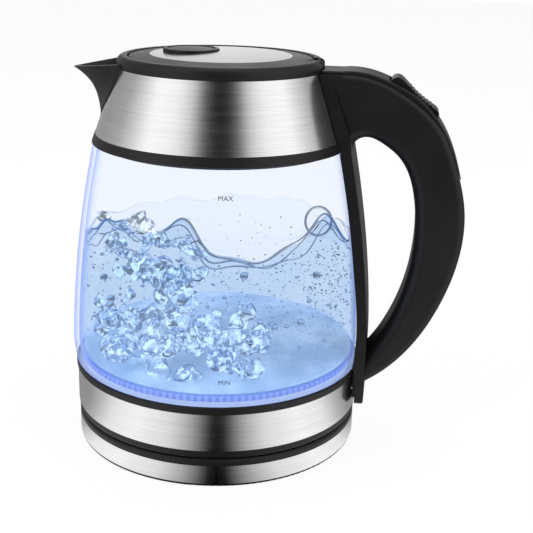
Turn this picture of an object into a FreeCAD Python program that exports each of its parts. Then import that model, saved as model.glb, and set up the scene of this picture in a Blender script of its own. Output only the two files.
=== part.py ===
import FreeCAD, Part
import math
import os

# Electric kettle: a glass jug with a steel collar, a hinged lid and a C-shaped handle, on a power base.
# Millimetres. The origin is on the jug's axis at table level, the spout along -X and the handle along +X.

V = FreeCAD.Vector
ORIGIN = V(0, 0, 0)
EAST = V(1, 0, 0)
NORTH = V(0, 1, 0)
UP = V(0, 0, 1)

# Fits and sheet
BAND_T = 0.6             # steel sheet of the bands
SLIDE_GAP = 0.3          # between pieces that move past each other
SWIVEL_GAP = 0.5         # between the socket and the jug that turns around it
PIN_GAP = 0.05           # radial play of a hinge pin
EDGE_R = 0.6             # small moulded edges
FAR = 40.0               # reach of a cut that clears the part
CUT_OVER = 1.0           # reach of a cut past a face

# Power base
FLOOR_LIFT = 0.6         # the feet hold the floor this far off the table
FLOOR_RIM_H = 1.5
FLOOR_T = 2.2
JUG_R = 75.8             # outside of the jug's steel band
BASE_STEP = 0.5          # base's steel band inside the jug's
BASE_R = JUG_R - BASE_STEP
BASE_BAND_H = 9.8
DECK_H = 3.7             # shoulder above the band
DECK_T = 2.2
DECK_DISH = 0.9          # the deck is sunk this much inside its rim
DECK_RIM_W = 9.0
SHOULDER_R = 1.8
FOOT_R = 6.0
FOOT_STEM_R = 3.0
FOOT_BARB = 0.8
FOOT_COUNT = 4
FOOT_RING_R = 60.0
SCREW_R = 1.5
SCREW_HEAD_R = 2.8
SCREW_HEAD_H = 1.3
SCREW_BITE = 6.0
BOSS_WALL = 2.2
BASE_SCREW_COUNT = 3
BASE_SCREW_RING_R = 44.0
BASE_SEAT_SINK = 0.8     # screw seats below the top of the floor
SCREW_HEAD_ROOM = 3.0    # way in to a screw's head
GLAND_R = 4.1
GLAND_NECK_R = 3.4
GLAND_BORE_R = 2.8
GLAND_LIP = 1.4
GLAND_PLAY = 0.5         # inner lip behind the wall

# Connector between base and jug
CONNECTOR_R = 21.4
CONNECTOR_FLANGE = 2.6
CONNECTOR_FLANGE_T = 2.2
MOAT_R = 18.0
TOWER_R = 11.5
TOWER_WALL = 2.9
TOWER_H = 14.0
POST_R = 6.4
POST_WALL = 3.2
CONTACT_T = 0.6
CONTACT_H = 8.0
EARTH_PIN_R = 1.8
MOAT_FLOOR = 0.5
SLOT_FLOOR = 1.5
POST_DROP = 2.0          # post below the top of the tower
SOCKET_R = 17.4
SOCKET_ROOF_T = 2.8
SOCKET_LIP = 2.3
SOCKET_LIP_T = 2.2
SOCKET_CLEAR = 1.2       # roof above the tower
BLADE_W = 3.0

# Jug, lower half
SKIRT_H = 4.4
JUG_BAND_H = 19.5
GLASS_RING_H = 3.8
GLASS_RING_OUT = 0.6     # the ring under the glass stands out from the band
FOOT_PLATE_T = 2.2
FOOT_RECESS = 1.0        # foot plate above the skirt's edge
HOUSING_T = 2.6
FLANGE_T = 1.8
FLANGE_W = 9.2
UPSTAND_T = 2.0
GLASS_RING_WALL = 1.5
PLATE_LIFT = 1.2         # heating plate above the lower seal
FOOT_SCREW_COUNT = 3
BOSS_MERGE = 1.5         # foot bosses run into the flange
LED_COUNT = 24
LED_R = 1.4
LED_SHOW = 1.6           # height of an LED above its board
LED_IN = 1.4             # LEDs inside the glass lip
LED_BOARD_T = 1.0
PLATE_T = 0.8            # steel of the heating plate
PLATE_RISE = 3.0
LIGHT_RING_H = 8.5
LIGHT_RING_W = 6.4
LIGHT_RING_FOOT = 2.2
LIGHT_RING_GAP = 0.5     # lit ring inside the glass
LIGHT_RING_NECK = 1.4    # neck of the lit ring above the plate's rim
LIGHT_RING_STEP = 3.0    # full width above the plate's rim
SPREADER_R = 50.0
SPREADER_T = 3.0
ELEMENT_R = 38.0
ELEMENT_TUBE_R = 3.2
ELEMENT_SINK = 0.8
ELEMENT_ARC = 300.0
ELEMENT_PIN_L = 2.0
ELEMENT_PIN_R = 1.92
THERMOSTAT_L = 34.0
THERMOSTAT_W = 26.0
THERMOSTAT_R = 2.0
SEAL_T = 1.0
UPPER_SEAL_T = 1.6
UPPER_SEAL_DROP = 0.8    # seal below the foot of the trim

# Glass
GLASS_T = 2.6
GLASS_H = 115.3
GLASS_BELLY_R = 77.5
GLASS_BELLY_RISE = 14.0
GLASS_WAIST_R = 75.0
GLASS_WAIST_RISE = 51.0
GLASS_NECK_R = 70.6
GLASS_NECK_RISE = 84.0
GLASS_TOP_R = 64.9
GLASS_LIP_H = 2.8        # the glass reaches this far into the rings that hold it
GLASS_LIP_IN = 1.7
GLASS_SEAT_LIFT = 0.2    # foot of the glass off its ring
GLASS_FOOT_IN = 0.1      # wall inside the ring it rises from
GLASS_FOOT_RISE = 0.9
GLASS_TOP_SINK = 0.2     # wall ends this far below the trim
GLASS_NECK_TURN = 1.2    # height of the step into the lip
GLASS_TURN_OUT = 0.1     # lower steps of the wall, outside and inside
GLASS_TURN_IN = 0.3

# Collar, spout and top ring
TRIM_H = 4.7
COLLAR_H = 32.9
COLLAR_LOW_R = 63.7
COLLAR_TOP_R = 51.9
COLLAR_T = 2.4
COLLAR_SKIRT_H = 2.2     # sleeve inside the neck of the glass, below the trim
COLLAR_SKIRT_T = 2.0
COLLAR_SLOPE_DROP = 3.0  # inner slope starts below the collar's foot
TRIM_OUT = 0.7           # trim stands out from the glass
TRIM_GAP = 0.05          # thin joint round the glass and the ring
TRIM_LIFT = 0.1          # foot of the trim above the wall of the glass
TRIM_LIP = 1.5
TRIM_STEP = 0.2          # trim outside the collar's foot
RING_H = 5.8
RING_R = 52.3
RING_SHOULDER_R = 3.4
RING_SKIRT_H = 4.0
RING_SKIRT_T = 1.6
LID_OPENING_R = 47.0
SPOUT_WALL = 2.2
SPOUT_TIP_X = 78.6       # from the axis to the tip
SPOUT_TIP_DROP = 8.6     # tip below the top of the ring
SPOUT_LIP_DROP = 4.4     # lip below the top of the ring, where it meets the ring
SPOUT_LOW = 3.6          # foot of the spout above the collar's foot
SPOUT_OVER = 2.5         # horn above the collar before the lip is cut
SPOUT_W = 51.0           # across the roots at the top
SPOUT_ROOT_POWER = 1.8   # roundness of the foot, 2 is an ellipse
SPOUT_BULGE = 15.0       # steady reach beyond the collar
SPOUT_FLARE = 22.0       # further reach that grows towards the tip
SPOUT_NOSE_R = 5.0
SPOUT_SEAM = 1.2         # room round the spout in the collar's steel
SPOUT_SIDE_SHARE = 1.2   # how much of an inset the sides, nose and floor of the horn take
SPOUT_NOSE_SHARE = 0.6
SPOUT_FLOOR_SHARE = 0.4
SPOUT_ROOT_REACH = 1.4   # sides run on into the collar, as a share of their length
SPOUT_SHARES = (0.03, 0.08, 0.16, 0.28, 0.42, 0.58, 0.74, 0.88, 1.0)
FILTER_T = 1.2
FILTER_W = 38.0
FILTER_LOW = 5.0         # filter foot above the collar's foot
FILTER_H = 19.0
FILTER_IN = 4.0          # filter inside the collar's wall
FILTER_SLOTS = 9
FILTER_SLOT_W = 1.6
FILTER_SLOT_PITCH = 3.0
FILTER_SLOT_H = 13.0

# Lid
LID_DOME = 2.8
LID_T = 2.0
LID_RIM_DROP = 0.5       # lid rim below the top of the ring
LID_SKIRT_H = 9.8
LID_SKIRT_T = 2.0
LID_GAP = 0.4            # round the lid
LID_UNDER_T = 0.8        # edge of the lid's floor under the seal
LID_UNDER_IN = 1.4       # that edge inside the lid's rim
LID_EDGE_R = 0.9
LID_PLATE_R = 36.0
LID_PLATE_T = 0.8
LID_BASE_T = 1.8
LID_FLANGE_H = 1.8
LID_SEAL_H = 1.9
LID_SEAL_W = 3.4
LID_SEAL_GAP = 0.8       # seal inside the ring, so that the lid swings clear
LID_SEAL_LOW_IN = 1.2    # lower and upper edges of the seal inside the lid's rim
LID_SEAL_TOP_IN = 0.6
LID_SCREW_COUNT = 3
LID_SCREW_RING_R = 34.0
BUTTON_X = -15.3
BUTTON_R = 11.8
BUTTON_T = 2.4
BUTTON_STEM_R = 3.4
BUTTON_CROWN = 0.7
BUTTON_PROUD = 0.3       # button above its bezel
BUTTON_STEM_IN = 0.5     # stem sunk into the button
BUTTON_TRAVEL = 2.0
BEZEL_R = 14.3
BEZEL_WALL = 0.9
BEZEL_H = 1.2
BEZEL_FLOOR_T = 1.2
BEZEL_DEPTH = 7.6
BEZEL_SINK = 2.64        # flange drawn down to the dome
BEZEL_EDGE_R = 0.84
BEZEL_TUBE_DROP = 0.96   # tube below the top of the flange
BUTTON_SPRING_R = 7.6
SPRING_WIRE_R = 0.3
BUTTON_SPRING_TURNS = 3
LATCH_W = 10.0
LATCH_T = 2.4
LATCH_L = 40.0
LATCH_SPRING_R = 1.9
LATCH_SPRING_L = 8.0
LATCH_SPRING_TURNS = 6
LATCH_SPRING_OVER = 0.7  # most that the spring stands past the bolt
LATCH_BACK = 0.2         # nose inside the lid's rim
LATCH_RAMP_L = 1.92
LATCH_RAMP_H = 1.44
LATCH_RAIL_T = 1.4
LATCH_LIFT = 2.4         # latch above the lid's floor
HINGE_PIN_R = 1.0
HINGE_PIN_L = 23.0
HINGE_X = 49.6
HINGE_DROP = 2.4         # hinge axis below the top of the ring
KNUCKLE_R = 2.3
ARM_LOW = 1.84           # hinge arm below and above the axis
ARM_HIGH = 1.38
HEEL_RELIEF = 0.95       # lid's skirt drawn in beside the hinge, to swing past the ring
HEEL_START = 0.7         # relief starts at this share of the lid's radius
KNUCKLE_W = 12.6
KNUCKLE_GAP = 7.0        # room for the lid spring between the two knuckles
NOTCH_GAP = 0.5
LID_SPRING_R = 1.7
LID_SPRING_TURNS = 5

# Handle
HANDLE_REACH = 45.0      # back of the grip outside the strap's face
SHOULDER_DROP = 46.8     # shoulder of the grip below the top of the ring
GRIP_W = 28.0
GRIP_INNER_R = 6.0
GRIP_OUTER_R = 3.4
GRIP_WALL = 3.2
INSET_STEPS = 14
STRAP_OFF = 3.6          # face of the strap outside the glass
STRAP_W = 36.0
STRAP_TOP_W = 28.0
STRAP_LOW = 3.7          # strap's lower end above the foot of the jug's steel band
STRAP_CORNER_R = 3.0
STRAP_FOOT_R = 2.4       # rounding of the strap's lower end, seen from the side
STRAP_BACK = 0.5         # flat back of the strap's lower end off the steel band
STRAP_PAD_W = 27.0       # pad behind that end, round the lower screws
STRAP_GAP = 0.3
STRAP_COLLAR_OUT = 0.8   # further out beside the foot of the collar, and beside its top
STRAP_TOP_OUT = 1.0
STRAP_TAPER_LOW = 2.0    # strap narrows from below the collar's foot to below its top
STRAP_TAPER_HIGH = 4.0
STRAP_SHOULDER_R = 30.0
HANDLE_SCREW_SPREAD = 12.0
LOW_SEAT_SINK = 0.3      # screw seats sunk into the housing and the collar
HIGH_SEAT_SINK = 0.5
LOW_SCREW_SHARE = 0.6    # of the jug band's height
HIGH_SCREW_SHARE = 0.45  # of the collar's height
CHANNEL_W = 18.0
CHANNEL_T = 2.4
BLOCK_L = 8.4            # length of the hinge cover
SPINE_W = 22.4
SPINE_T = 1.6            # step from the spine's front down to the frame
SPINE_SIDE = 1.4         # wall beside the switch pocket
SPINE_EDGE_R = 1.2
SEAM_GAP = 0.1
BLOCK_DROP = 4.2         # front of the spine below the top of the ring
HANDLE_JOIN_LOW = 32.0   # inside of the grip meets the strap, above the foot of the jug's band
HANDLE_ROOT_H = 17.0     # height of the grip where it joins the strap
ROOT_SINK = 2.6          # ends of the grip sunk into the strap
ROOT_FALL = 1.6          # back of the grip falls inside the strap
HOLE_FALL = 3.4          # inner line falls inside the strap, and at its face
HOLE_FACE_FALL = 0.4
HEAD_OVERLAP = 1.0       # head run into the grip
HOLE_CORNER_R = 6.0
LEAD_R = 0.7
LEAD_SPREAD = 4.0
LEAD_BEND = 4.0
LEAD_STEPS = 16          # straight runs of a lead beside the glass
LEAD_CLEAR = 0.45        # leads off the channel's floor
LEAD_EXIT_SHARE = 0.35   # height of the way out through the jug's band
DUCT_R = 5.0
DUCT_WALL = 1.0
DUCT_L = 17.0
DUCT_IN = 8.0            # duct hole starts this far inside the collar
DUCT_DROP = 9.8          # duct below the foot of the top ring
STEAM_DISC_R = 6.5
STEAM_DISC_T = 0.5
STEAM_DISC_IN = 2.0      # disc behind the end of the duct
STEAM_ROOM_GAP = 1.0     # passage round the disc

# Thumb switch, on a slope that follows the handle
SWITCH_OUT = 17.5        # middle of the switch outside the strap's face
SWITCH_DROP = 15.0       # middle of the switch below the top of the ring
SWITCH_SLOPE = 35.5
SWITCH_L = 29.0
SWITCH_W = 15.0
SWITCH_DEEP = 4.0
SWITCH_GAP = 0.9         # at the ends of the rocker
SWITCH_SIDE_GAP = 0.4
SWITCH_PIN_R = 1.2
SWITCH_PIN_DEEP = 2.0
SWITCH_RIBS = 7
SWITCH_RIB_R = 0.5
SWITCH_RIB_PITCH = 2.2
SWITCH_RIB_IN = 1.5
SWITCH_BODY_L = 20.0
SWITCH_BODY_W = 12.0
SWITCH_BODY_H = 7.0
SWITCH_BODY_DEEP = 7.6
SWITCH_FOOT_L = 4.0
SWITCH_FOOT_T = 1.0      # foot plate run into the case
SWITCH_BODY_R = 1.0
SWITCH_SHELF_T = 1.6     # shelf in the grip's hollow that the switch stands on
ROCKER_WALL = 2.0
ROCKER_LIP_H = 1.8       # raised lip at the front end
ROCKER_LIP_L = 6.0
ROCKER_SADDLE_H = 0.4    # middle above the slope
ROCKER_TAIL_L = 4.5
ROCKER_END_L = 1.2
ROCKER_END_DROP = 0.5    # ends below the slope
ROCKER_PIN_ROOM = 0.4
ROCKER_RIB_OFF = 2.0     # ribs behind the middle
PIN_BOSS_L = 8.0
PIN_BOSS_DEEP = 3.0      # boss below the pin's axis

# Levels, from the table up
floor_z = FLOOR_LIFT
base_band_z = floor_z + FLOOR_RIM_H
floor_top = floor_z + FLOOR_T
deck_z = base_band_z + BASE_BAND_H
deck_top = deck_z + DECK_H
dish_z = deck_top - DECK_DISH
jug_z = deck_top + SLIDE_GAP
jug_band_z = jug_z + SKIRT_H
ring_z = jug_band_z + JUG_BAND_H
glass_z = ring_z + GLASS_RING_H
trim_z = glass_z + GLASS_H
seal_z = trim_z + GLASS_LIP_H
collar_z = trim_z + TRIM_H
top_z = collar_z + COLLAR_H
crown_z = top_z + RING_H

# Radii that pieces share
floor_r = BASE_R - BAND_T / 2
base_shell_r = BASE_R - BAND_T
housing_r = JUG_R - BAND_T
housing_in_r = housing_r - HOUSING_T
glass_ring_r = JUG_R + GLASS_RING_OUT
lip_out_r = glass_ring_r - GLASS_RING_WALL - SLIDE_GAP
lip_in_r = lip_out_r - GLASS_T
glass_foot_z = glass_z - GLASS_LIP_H + GLASS_SEAT_LIFT
flange_top = glass_foot_z - SEAL_T
flange_z = flange_top - FLANGE_T
flange_in_r = housing_r - FLANGE_W
upstand_r = flange_in_r + UPSTAND_T
plate_z = flange_top + SEAL_T + PLATE_LIFT
plate_top = plate_z + PLATE_T + PLATE_RISE
led_ring_r = lip_in_r - LED_IN
foot_z = jug_z + FOOT_RECESS
foot_top = foot_z + FOOT_PLATE_T
foot_boss_r = SCREW_R + BOSS_WALL
foot_screw_ring_r = flange_in_r - foot_boss_r + BOSS_MERGE
glass_lip_r = GLASS_TOP_R - GLASS_LIP_IN
frame_low_r = COLLAR_LOW_R - BAND_T
frame_top_r = COLLAR_TOP_R - BAND_T
skirt_out_r = glass_lip_r - GLASS_T - UPPER_SEAL_T
lid_r = LID_OPENING_R - LID_GAP
lid_rim_z = crown_z - LID_RIM_DROP
lid_skirt_z = lid_rim_z - LID_SKIRT_H
lid_in_r = lid_r - LID_SKIRT_T
hinge_z = crown_z - HINGE_DROP
dome_z = lid_rim_z + LID_DOME
strap_x = max(GLASS_BELLY_R, glass_ring_r) + STRAP_OFF
strap_low_z = jug_band_z + STRAP_LOW
strap_back_x = JUG_R + STRAP_BACK
block_x = RING_R + SWIVEL_GAP
spine_x = block_x + BLOCK_L
spine_top = crown_z - BLOCK_DROP
grip_h = crown_z - SHOULDER_DROP - jug_band_z
head_top = spine_top - SPINE_T
duct_x = frame_top_r - DUCT_IN
duct_z = top_z - DUCT_DROP
switch_x = strap_x + SWITCH_OUT
switch_z = crown_z - SWITCH_DROP
switch_pin_l = SPINE_W - 2 * SPINE_T


def rounded(points):
    """Closed wire in the XZ plane. A third number on a point rounds that corner."""
    corners = []
    for i, point in enumerate(points):
        here = V(point[0], 0, point[1])
        if len(point) < 3:
            corners.append((here, None, here))
            continue
        last, following = points[i - 1], points[(i + 1) % len(points)]
        back = (V(last[0], 0, last[1]) - here).normalize()
        ahead = (V(following[0], 0, following[1]) - here).normalize()
        half = back.getAngle(ahead) / 2
        reach = point[2] / math.tan(half)
        middle = here + (back + ahead).normalize() * (point[2] / math.sin(half) - point[2])
        corners.append((here + back * reach, middle, here + ahead * reach))
    edges = []
    for i, (start, middle, end) in enumerate(corners):
        if middle:
            edges.append(Part.Arc(start, middle, end).toShape())
        target = corners[(i + 1) % len(corners)][0]
        if end.distanceToPoint(target) > 1e-6:
            edges.append(Part.makeLine(end, target))
    return Part.Wire(edges)


def at(point):
    """Place of an (x, z) point in the plane of the handle."""
    return V(point[0], 0, point[1])


def polyline(points):
    """Straight edges through (x, z) points."""
    return [Part.makeLine(at(a), at(b)) for a, b in zip(points, points[1:])]


def lathe(points):
    """Solid of revolution about Z from (radius, height) points."""
    return Part.Face(rounded(points)).revolve(ORIGIN, UP, 360)


def prism(wire, width):
    """Plate of a wire in the XZ plane, centred on Y."""
    face = Part.Face(wire)
    face.translate(V(0, -width / 2, 0))
    return face.extrude(V(0, width, 0))


def spline(points):
    """Smooth curve through (x, z) points."""
    line = Part.BSplineCurve()
    line.interpolate([V(x, 0, z) for x, z in points])
    return line


def rod(start, axis, radius, length):
    """Round bar."""
    return Part.makeCylinder(radius, length, start, axis)


def sleeve(z, height, outer, inner):
    """Ring about the jug's axis."""
    return rod(V(0, 0, z), UP, outer, height).cut(rod(V(0, 0, z), UP, inner, height))


def block(low, high):
    """Box between two corners."""
    return Part.makeBox(high[0] - low[0], high[1] - low[1], high[2] - low[2], V(*low))


def around(count, radius, turn=0.0):
    """Evenly spaced places on a circle."""
    angles = [math.radians(turn + 360.0 * i / count) for i in range(count)]
    return [V(radius * math.cos(a), radius * math.sin(a), 0) for a in angles]


def joined(shapes):
    """One solid from shapes that overlap."""
    whole = shapes[0]
    for shape in shapes[1:]:
        whole = whole.fuse(shape)
    return whole.removeSplitter()


def without(shape, tools):
    """Shape with every tool cut away."""
    for tool in tools:
        shape = shape.cut(tool)
    return shape


def screw(seat, axis):
    """Pan-head screw whose head sits on the seat and whose shank points along the axis."""
    head = rod(seat - axis * SCREW_HEAD_H, axis, SCREW_HEAD_R, SCREW_HEAD_H)
    slot = rod(seat - axis * SCREW_HEAD_H, axis, SCREW_R / 2, SCREW_HEAD_H / 2)
    return head, slot


def screw_solid(seat, axis, grip):
    """Screw that passes through the grip length and bites into what lies beyond."""
    head, slot = screw(seat, axis)
    return joined([head, rod(seat, axis, SCREW_R, grip + SCREW_BITE)]).cut(slot)


def arc_from(start, lead, end):
    """Arc that leaves its start along a direction."""
    chord = end - start
    along = V(chord).normalize()
    side = (lead - along * lead.dot(along)).normalize()
    middle = start + chord * 0.5 + side * (chord.Length / 2 * math.tan(chord.getAngle(lead) / 2))
    return Part.Arc(start, middle, end).toShape()


def spring(radius, pitch, turns):
    """Coil of round wire up the Z axis, two arcs to each quarter turn."""
    def place(angle):
        return V(radius * math.cos(angle), radius * math.sin(angle), pitch * angle / math.tau)

    def lead(angle):
        return V(-radius * math.sin(angle), radius * math.cos(angle), pitch / math.tau).normalize()

    edges = []
    step = math.tau / 4
    for i in range(4 * turns):
        start, end = place(i * step), place((i + 1) * step)
        go, come = lead(i * step), lead((i + 1) * step)
        span, sum_lead = end - start, go + come
        bend = 2 * (1 - go.dot(come))
        pull = span.dot(sum_lead)
        arm = (math.sqrt(pull * pull + bend * span.dot(span)) - pull) / bend
        near, far = start + go * arm, end - come * arm
        meet = (near + far) * 0.5
        edges.append(arc_from(start, go, meet))
        edges.append(arc_from(meet, (far - near).normalize(), end))
    section = Part.Wire(Part.makeCircle(SPRING_WIRE_R, place(0), lead(0)))
    return Part.Wire(edges).makePipeShell([section], True, False)


def lead_tube(points):
    """Insulated wire along straight runs joined by tangent arcs."""
    edges = []
    here = points[0]
    for i in range(1, len(points) - 1):
        back = (points[i - 1] - points[i]).normalize()
        ahead = (points[i + 1] - points[i]).normalize()
        half = back.getAngle(ahead) / 2
        shorter = min((points[i - 1] - points[i]).Length, (points[i + 1] - points[i]).Length)
        reach = min(LEAD_BEND / math.tan(half), 0.45 * shorter)
        radius = reach * math.tan(half)
        middle = points[i] + (back + ahead).normalize() * (radius / math.sin(half) - radius)
        start, end = points[i] + back * reach, points[i] + ahead * reach
        edges.append(Part.makeLine(here, start))
        edges.append(Part.Arc(start, middle, end).toShape())
        here = end
    edges.append(Part.makeLine(here, points[-1]))
    section = Part.Wire(Part.makeCircle(LEAD_R, points[0], points[1] - points[0]))
    return Part.Wire(edges).makePipeShell([section], True, False)


def tilt_to_switch(shape):
    """Place a shape drawn about the middle of the switch, X along the slope and Z out of it."""
    shape.rotate(ORIGIN, NORTH, SWITCH_SLOPE)
    shape.translate(V(switch_x, 0, switch_z))
    return shape


def base_screw_seats():
    seat = UP * (floor_top - BASE_SEAT_SINK)
    return [place + seat for place in around(BASE_SCREW_COUNT, BASE_SCREW_RING_R)]


def foot_places():
    """A ring of feet and one in the middle, under the connector."""
    return around(FOOT_COUNT, FOOT_RING_R, 45) + [ORIGIN]


def base_floor():
    body = lathe([(0, floor_z), (floor_r, floor_z, EDGE_R), (floor_r, base_band_z),
                  (base_shell_r, base_band_z), (base_shell_r, floor_top), (0, floor_top)])
    for place in foot_places():
        body = body.cut(rod(place, UP, FOOT_STEM_R, floor_top))
    for seat in base_screw_seats():
        body = body.cut(rod(seat - UP * seat.z, UP, SCREW_HEAD_R + SLIDE_GAP, seat.z))
        body = body.cut(rod(seat, UP, SCREW_R, FLOOR_T))
    return body


def base_feet():
    feet = []
    for place in foot_places():
        pad = rod(place, UP, FOOT_R, floor_z)
        stem = rod(place, UP, FOOT_STEM_R, floor_top)
        barb = rod(place + UP * floor_top, UP, FOOT_STEM_R + FOOT_BARB, FOOT_BARB)
        feet.append(joined([pad, stem, barb]))
    return Part.makeCompound(feet)


def base_screws():
    return Part.makeCompound([screw_solid(seat, UP, floor_top - seat.z) for seat in base_screw_seats()])


def gland_tool(radius):
    middle = V(0, base_shell_r - 2 * DECK_T, base_band_z + BASE_BAND_H / 2)
    return rod(middle, NORTH, radius, 4 * DECK_T)


def base_band():
    return sleeve(base_band_z, BASE_BAND_H, BASE_R, base_shell_r).cut(gland_tool(GLAND_NECK_R))


def base_deck():
    wall_in_r = base_shell_r - DECK_T
    rim_r = BASE_R - DECK_RIM_W
    under = dish_z - DECK_T
    body = lathe([(base_shell_r, floor_top), (base_shell_r, deck_z), (BASE_R, deck_z),
                  (BASE_R, deck_top, SHOULDER_R), (rim_r, deck_top), (rim_r - DECK_DISH, dish_z),
                  (CONNECTOR_R, dish_z), (CONNECTOR_R, under), (wall_in_r, under), (wall_in_r, floor_top)])
    boss_h = under - floor_top
    feet = [V(seat.x, seat.y, floor_top) for seat in base_screw_seats()]
    body = joined([body] + [rod(foot, UP, SCREW_R + BOSS_WALL, boss_h) for foot in feet])
    body = without(body, [rod(foot, UP, SCREW_R, SCREW_BITE) for foot in feet])
    return body.cut(gland_tool(GLAND_NECK_R))


def cord_gland():
    start = base_shell_r - DECK_T - GLAND_LIP
    end = BASE_R + GLAND_LIP
    grip_start, grip_end = base_shell_r - DECK_T - GLAND_PLAY, BASE_R
    middle = V(0, 0, base_band_z + BASE_BAND_H / 2)
    neck = rod(middle + NORTH * start, NORTH, GLAND_NECK_R, end - start)
    inner_lip = rod(middle + NORTH * start, NORTH, GLAND_R, grip_start - start)
    outer_lip = rod(middle + NORTH * grip_end, NORTH, GLAND_R, end - grip_end)
    body = joined([neck, inner_lip, outer_lip])
    return body.cut(rod(middle + NORTH * start, NORTH, GLAND_BORE_R, end - start))


connector_z = dish_z - DECK_T - CONNECTOR_FLANGE_T
moat_z = connector_z + CONNECTOR_FLANGE_T + MOAT_FLOOR
tower_top = moat_z + TOWER_H
slot_z = moat_z + SLOT_FLOOR


def base_connector():
    flange_r = CONNECTOR_R + CONNECTOR_FLANGE
    flange_top_z = connector_z + CONNECTOR_FLANGE_T
    rim_z, post_top = dish_z + SLIDE_GAP, tower_top - POST_DROP
    tower_in_r, post_in_r = TOWER_R - TOWER_WALL, POST_R - POST_WALL
    return lathe([(EARTH_PIN_R, connector_z), (flange_r, connector_z), (flange_r, flange_top_z),
                  (CONNECTOR_R, flange_top_z), (CONNECTOR_R, rim_z), (MOAT_R, rim_z), (MOAT_R, moat_z),
                  (TOWER_R, moat_z), (TOWER_R, tower_top, EDGE_R), (tower_in_r, tower_top, EDGE_R),
                  (tower_in_r, slot_z), (POST_R, slot_z), (POST_R, post_top, EDGE_R),
                  (post_in_r, post_top, EDGE_R), (post_in_r, slot_z), (EARTH_PIN_R, slot_z)])


def connector_contacts():
    inner = sleeve(slot_z, CONTACT_H, POST_R + CONTACT_T, POST_R)
    tower_bore = TOWER_R - TOWER_WALL
    outer = sleeve(slot_z, CONTACT_H, tower_bore, tower_bore - CONTACT_T)
    earth = rod(V(0, 0, connector_z), UP, EARTH_PIN_R, slot_z - connector_z + CONTACT_H)
    return Part.makeCompound([inner, outer, earth])


socket_bore_r = TOWER_R + 2 * SLIDE_GAP
socket_roof_z = tower_top + SOCKET_CLEAR
socket_top = socket_roof_z + SOCKET_ROOF_T
socket_collar_top = socket_roof_z - SOCKET_LIP_T


def jug_socket():
    lip_r = SOCKET_R + SOCKET_LIP
    low_z, lip_z = dish_z + 2 * SLIDE_GAP, socket_collar_top + SWIVEL_GAP
    return lathe([(socket_bore_r, low_z), (SOCKET_R, low_z), (SOCKET_R, lip_z), (lip_r, lip_z),
                  (lip_r, socket_top, EDGE_R), (0, socket_top), (0, socket_roof_z),
                  (socket_bore_r, socket_roof_z)])


def socket_contacts():
    ring_gap = (TOWER_R - TOWER_WALL + POST_R) / 2
    low = slot_z + SLOT_FLOOR
    half_t, half_w = CONTACT_T / 3, BLADE_W / 2
    blades = []
    for side in (-1, 1):
        x = side * ring_gap
        blades.append(block((x - half_t, -half_w, low), (x + half_t, half_w, socket_roof_z)))
    earth = sleeve(low, socket_roof_z - low, EARTH_PIN_R + 2 * SLIDE_GAP, EARTH_PIN_R + SLIDE_GAP)
    return Part.makeCompound(blades + [earth])


def foot_screw_seats():
    seat = UP * (foot_z + SCREW_HEAD_H)
    return [place + seat for place in around(FOOT_SCREW_COUNT, foot_screw_ring_r, 60)]


def jug_foot():
    hole_r = SOCKET_R + SWIVEL_GAP
    rim_r = BASE_R - DECK_RIM_W + FOOT_RECESS
    skirt_r = JUG_R - BAND_T / 2
    body = lathe([(hole_r, foot_z), (rim_r - 2 * FOOT_RECESS, foot_z), (rim_r, jug_z),
                  (skirt_r, jug_z, SHOULDER_R),
                  (skirt_r, jug_band_z), (housing_in_r, jug_band_z), (housing_in_r, foot_top),
                  (hole_r + FOOT_PLATE_T, foot_top), (hole_r + FOOT_PLATE_T, socket_collar_top),
                  (hole_r, socket_collar_top)])
    for seat in foot_screw_seats():
        body = body.cut(rod(V(seat.x, seat.y, jug_z), UP, SCREW_HEAD_R, seat.z - jug_z))
        body = body.cut(rod(seat, UP, SCREW_R, FOOT_PLATE_T))
    return body


def foot_screws():
    return Part.makeCompound([screw_solid(seat, UP, foot_top - seat.z) for seat in foot_screw_seats()])


def handle_screw_seats():
    """Lower pair through the jug's band, upper pair through the collar, heads inside."""
    low_z = jug_band_z + JUG_BAND_H * LOW_SCREW_SHARE
    high_z = collar_z + COLLAR_H * HIGH_SCREW_SHARE
    high_r = frame_low_r - COLLAR_T - (frame_low_r - frame_top_r) * HIGH_SCREW_SHARE
    pairs = []
    for side in (-1, 1):
        y = side * HANDLE_SCREW_SPREAD
        pairs.append(V(math.sqrt(housing_in_r ** 2 - y ** 2) - LOW_SEAT_SINK, y, low_z))
        pairs.append(V(math.sqrt(high_r ** 2 - y ** 2) - HIGH_SEAT_SINK, y, high_z))
    return pairs


def handle_screws():
    return Part.makeCompound([screw_solid(seat, EAST, HOUSING_T + BAND_T) for seat in handle_screw_seats()])


def screw_holes():
    """Bores for the handle's screws, each with room for its head."""
    bores = []
    way_in = SCREW_HEAD_H + SCREW_HEAD_ROOM
    for seat in handle_screw_seats():
        bores.append(rod(seat, EAST, SCREW_R, HOUSING_T + BAND_T + SCREW_BITE))
        bores.append(rod(seat - EAST * way_in, EAST, SCREW_HEAD_R, way_in))
    return bores


lead_exit_z = jug_band_z + JUG_BAND_H * LEAD_EXIT_SHARE


def lead_windows():
    starts = [V(housing_in_r - HOUSING_T, side * LEAD_SPREAD, lead_exit_z) for side in (-1, 1)]
    return [rod(start, EAST, 3 * LEAD_R, 3 * HOUSING_T) for start in starts]


def jug_band():
    body = sleeve(jug_band_z, JUG_BAND_H, JUG_R, housing_r)
    return without(body, screw_holes() + lead_windows())


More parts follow.
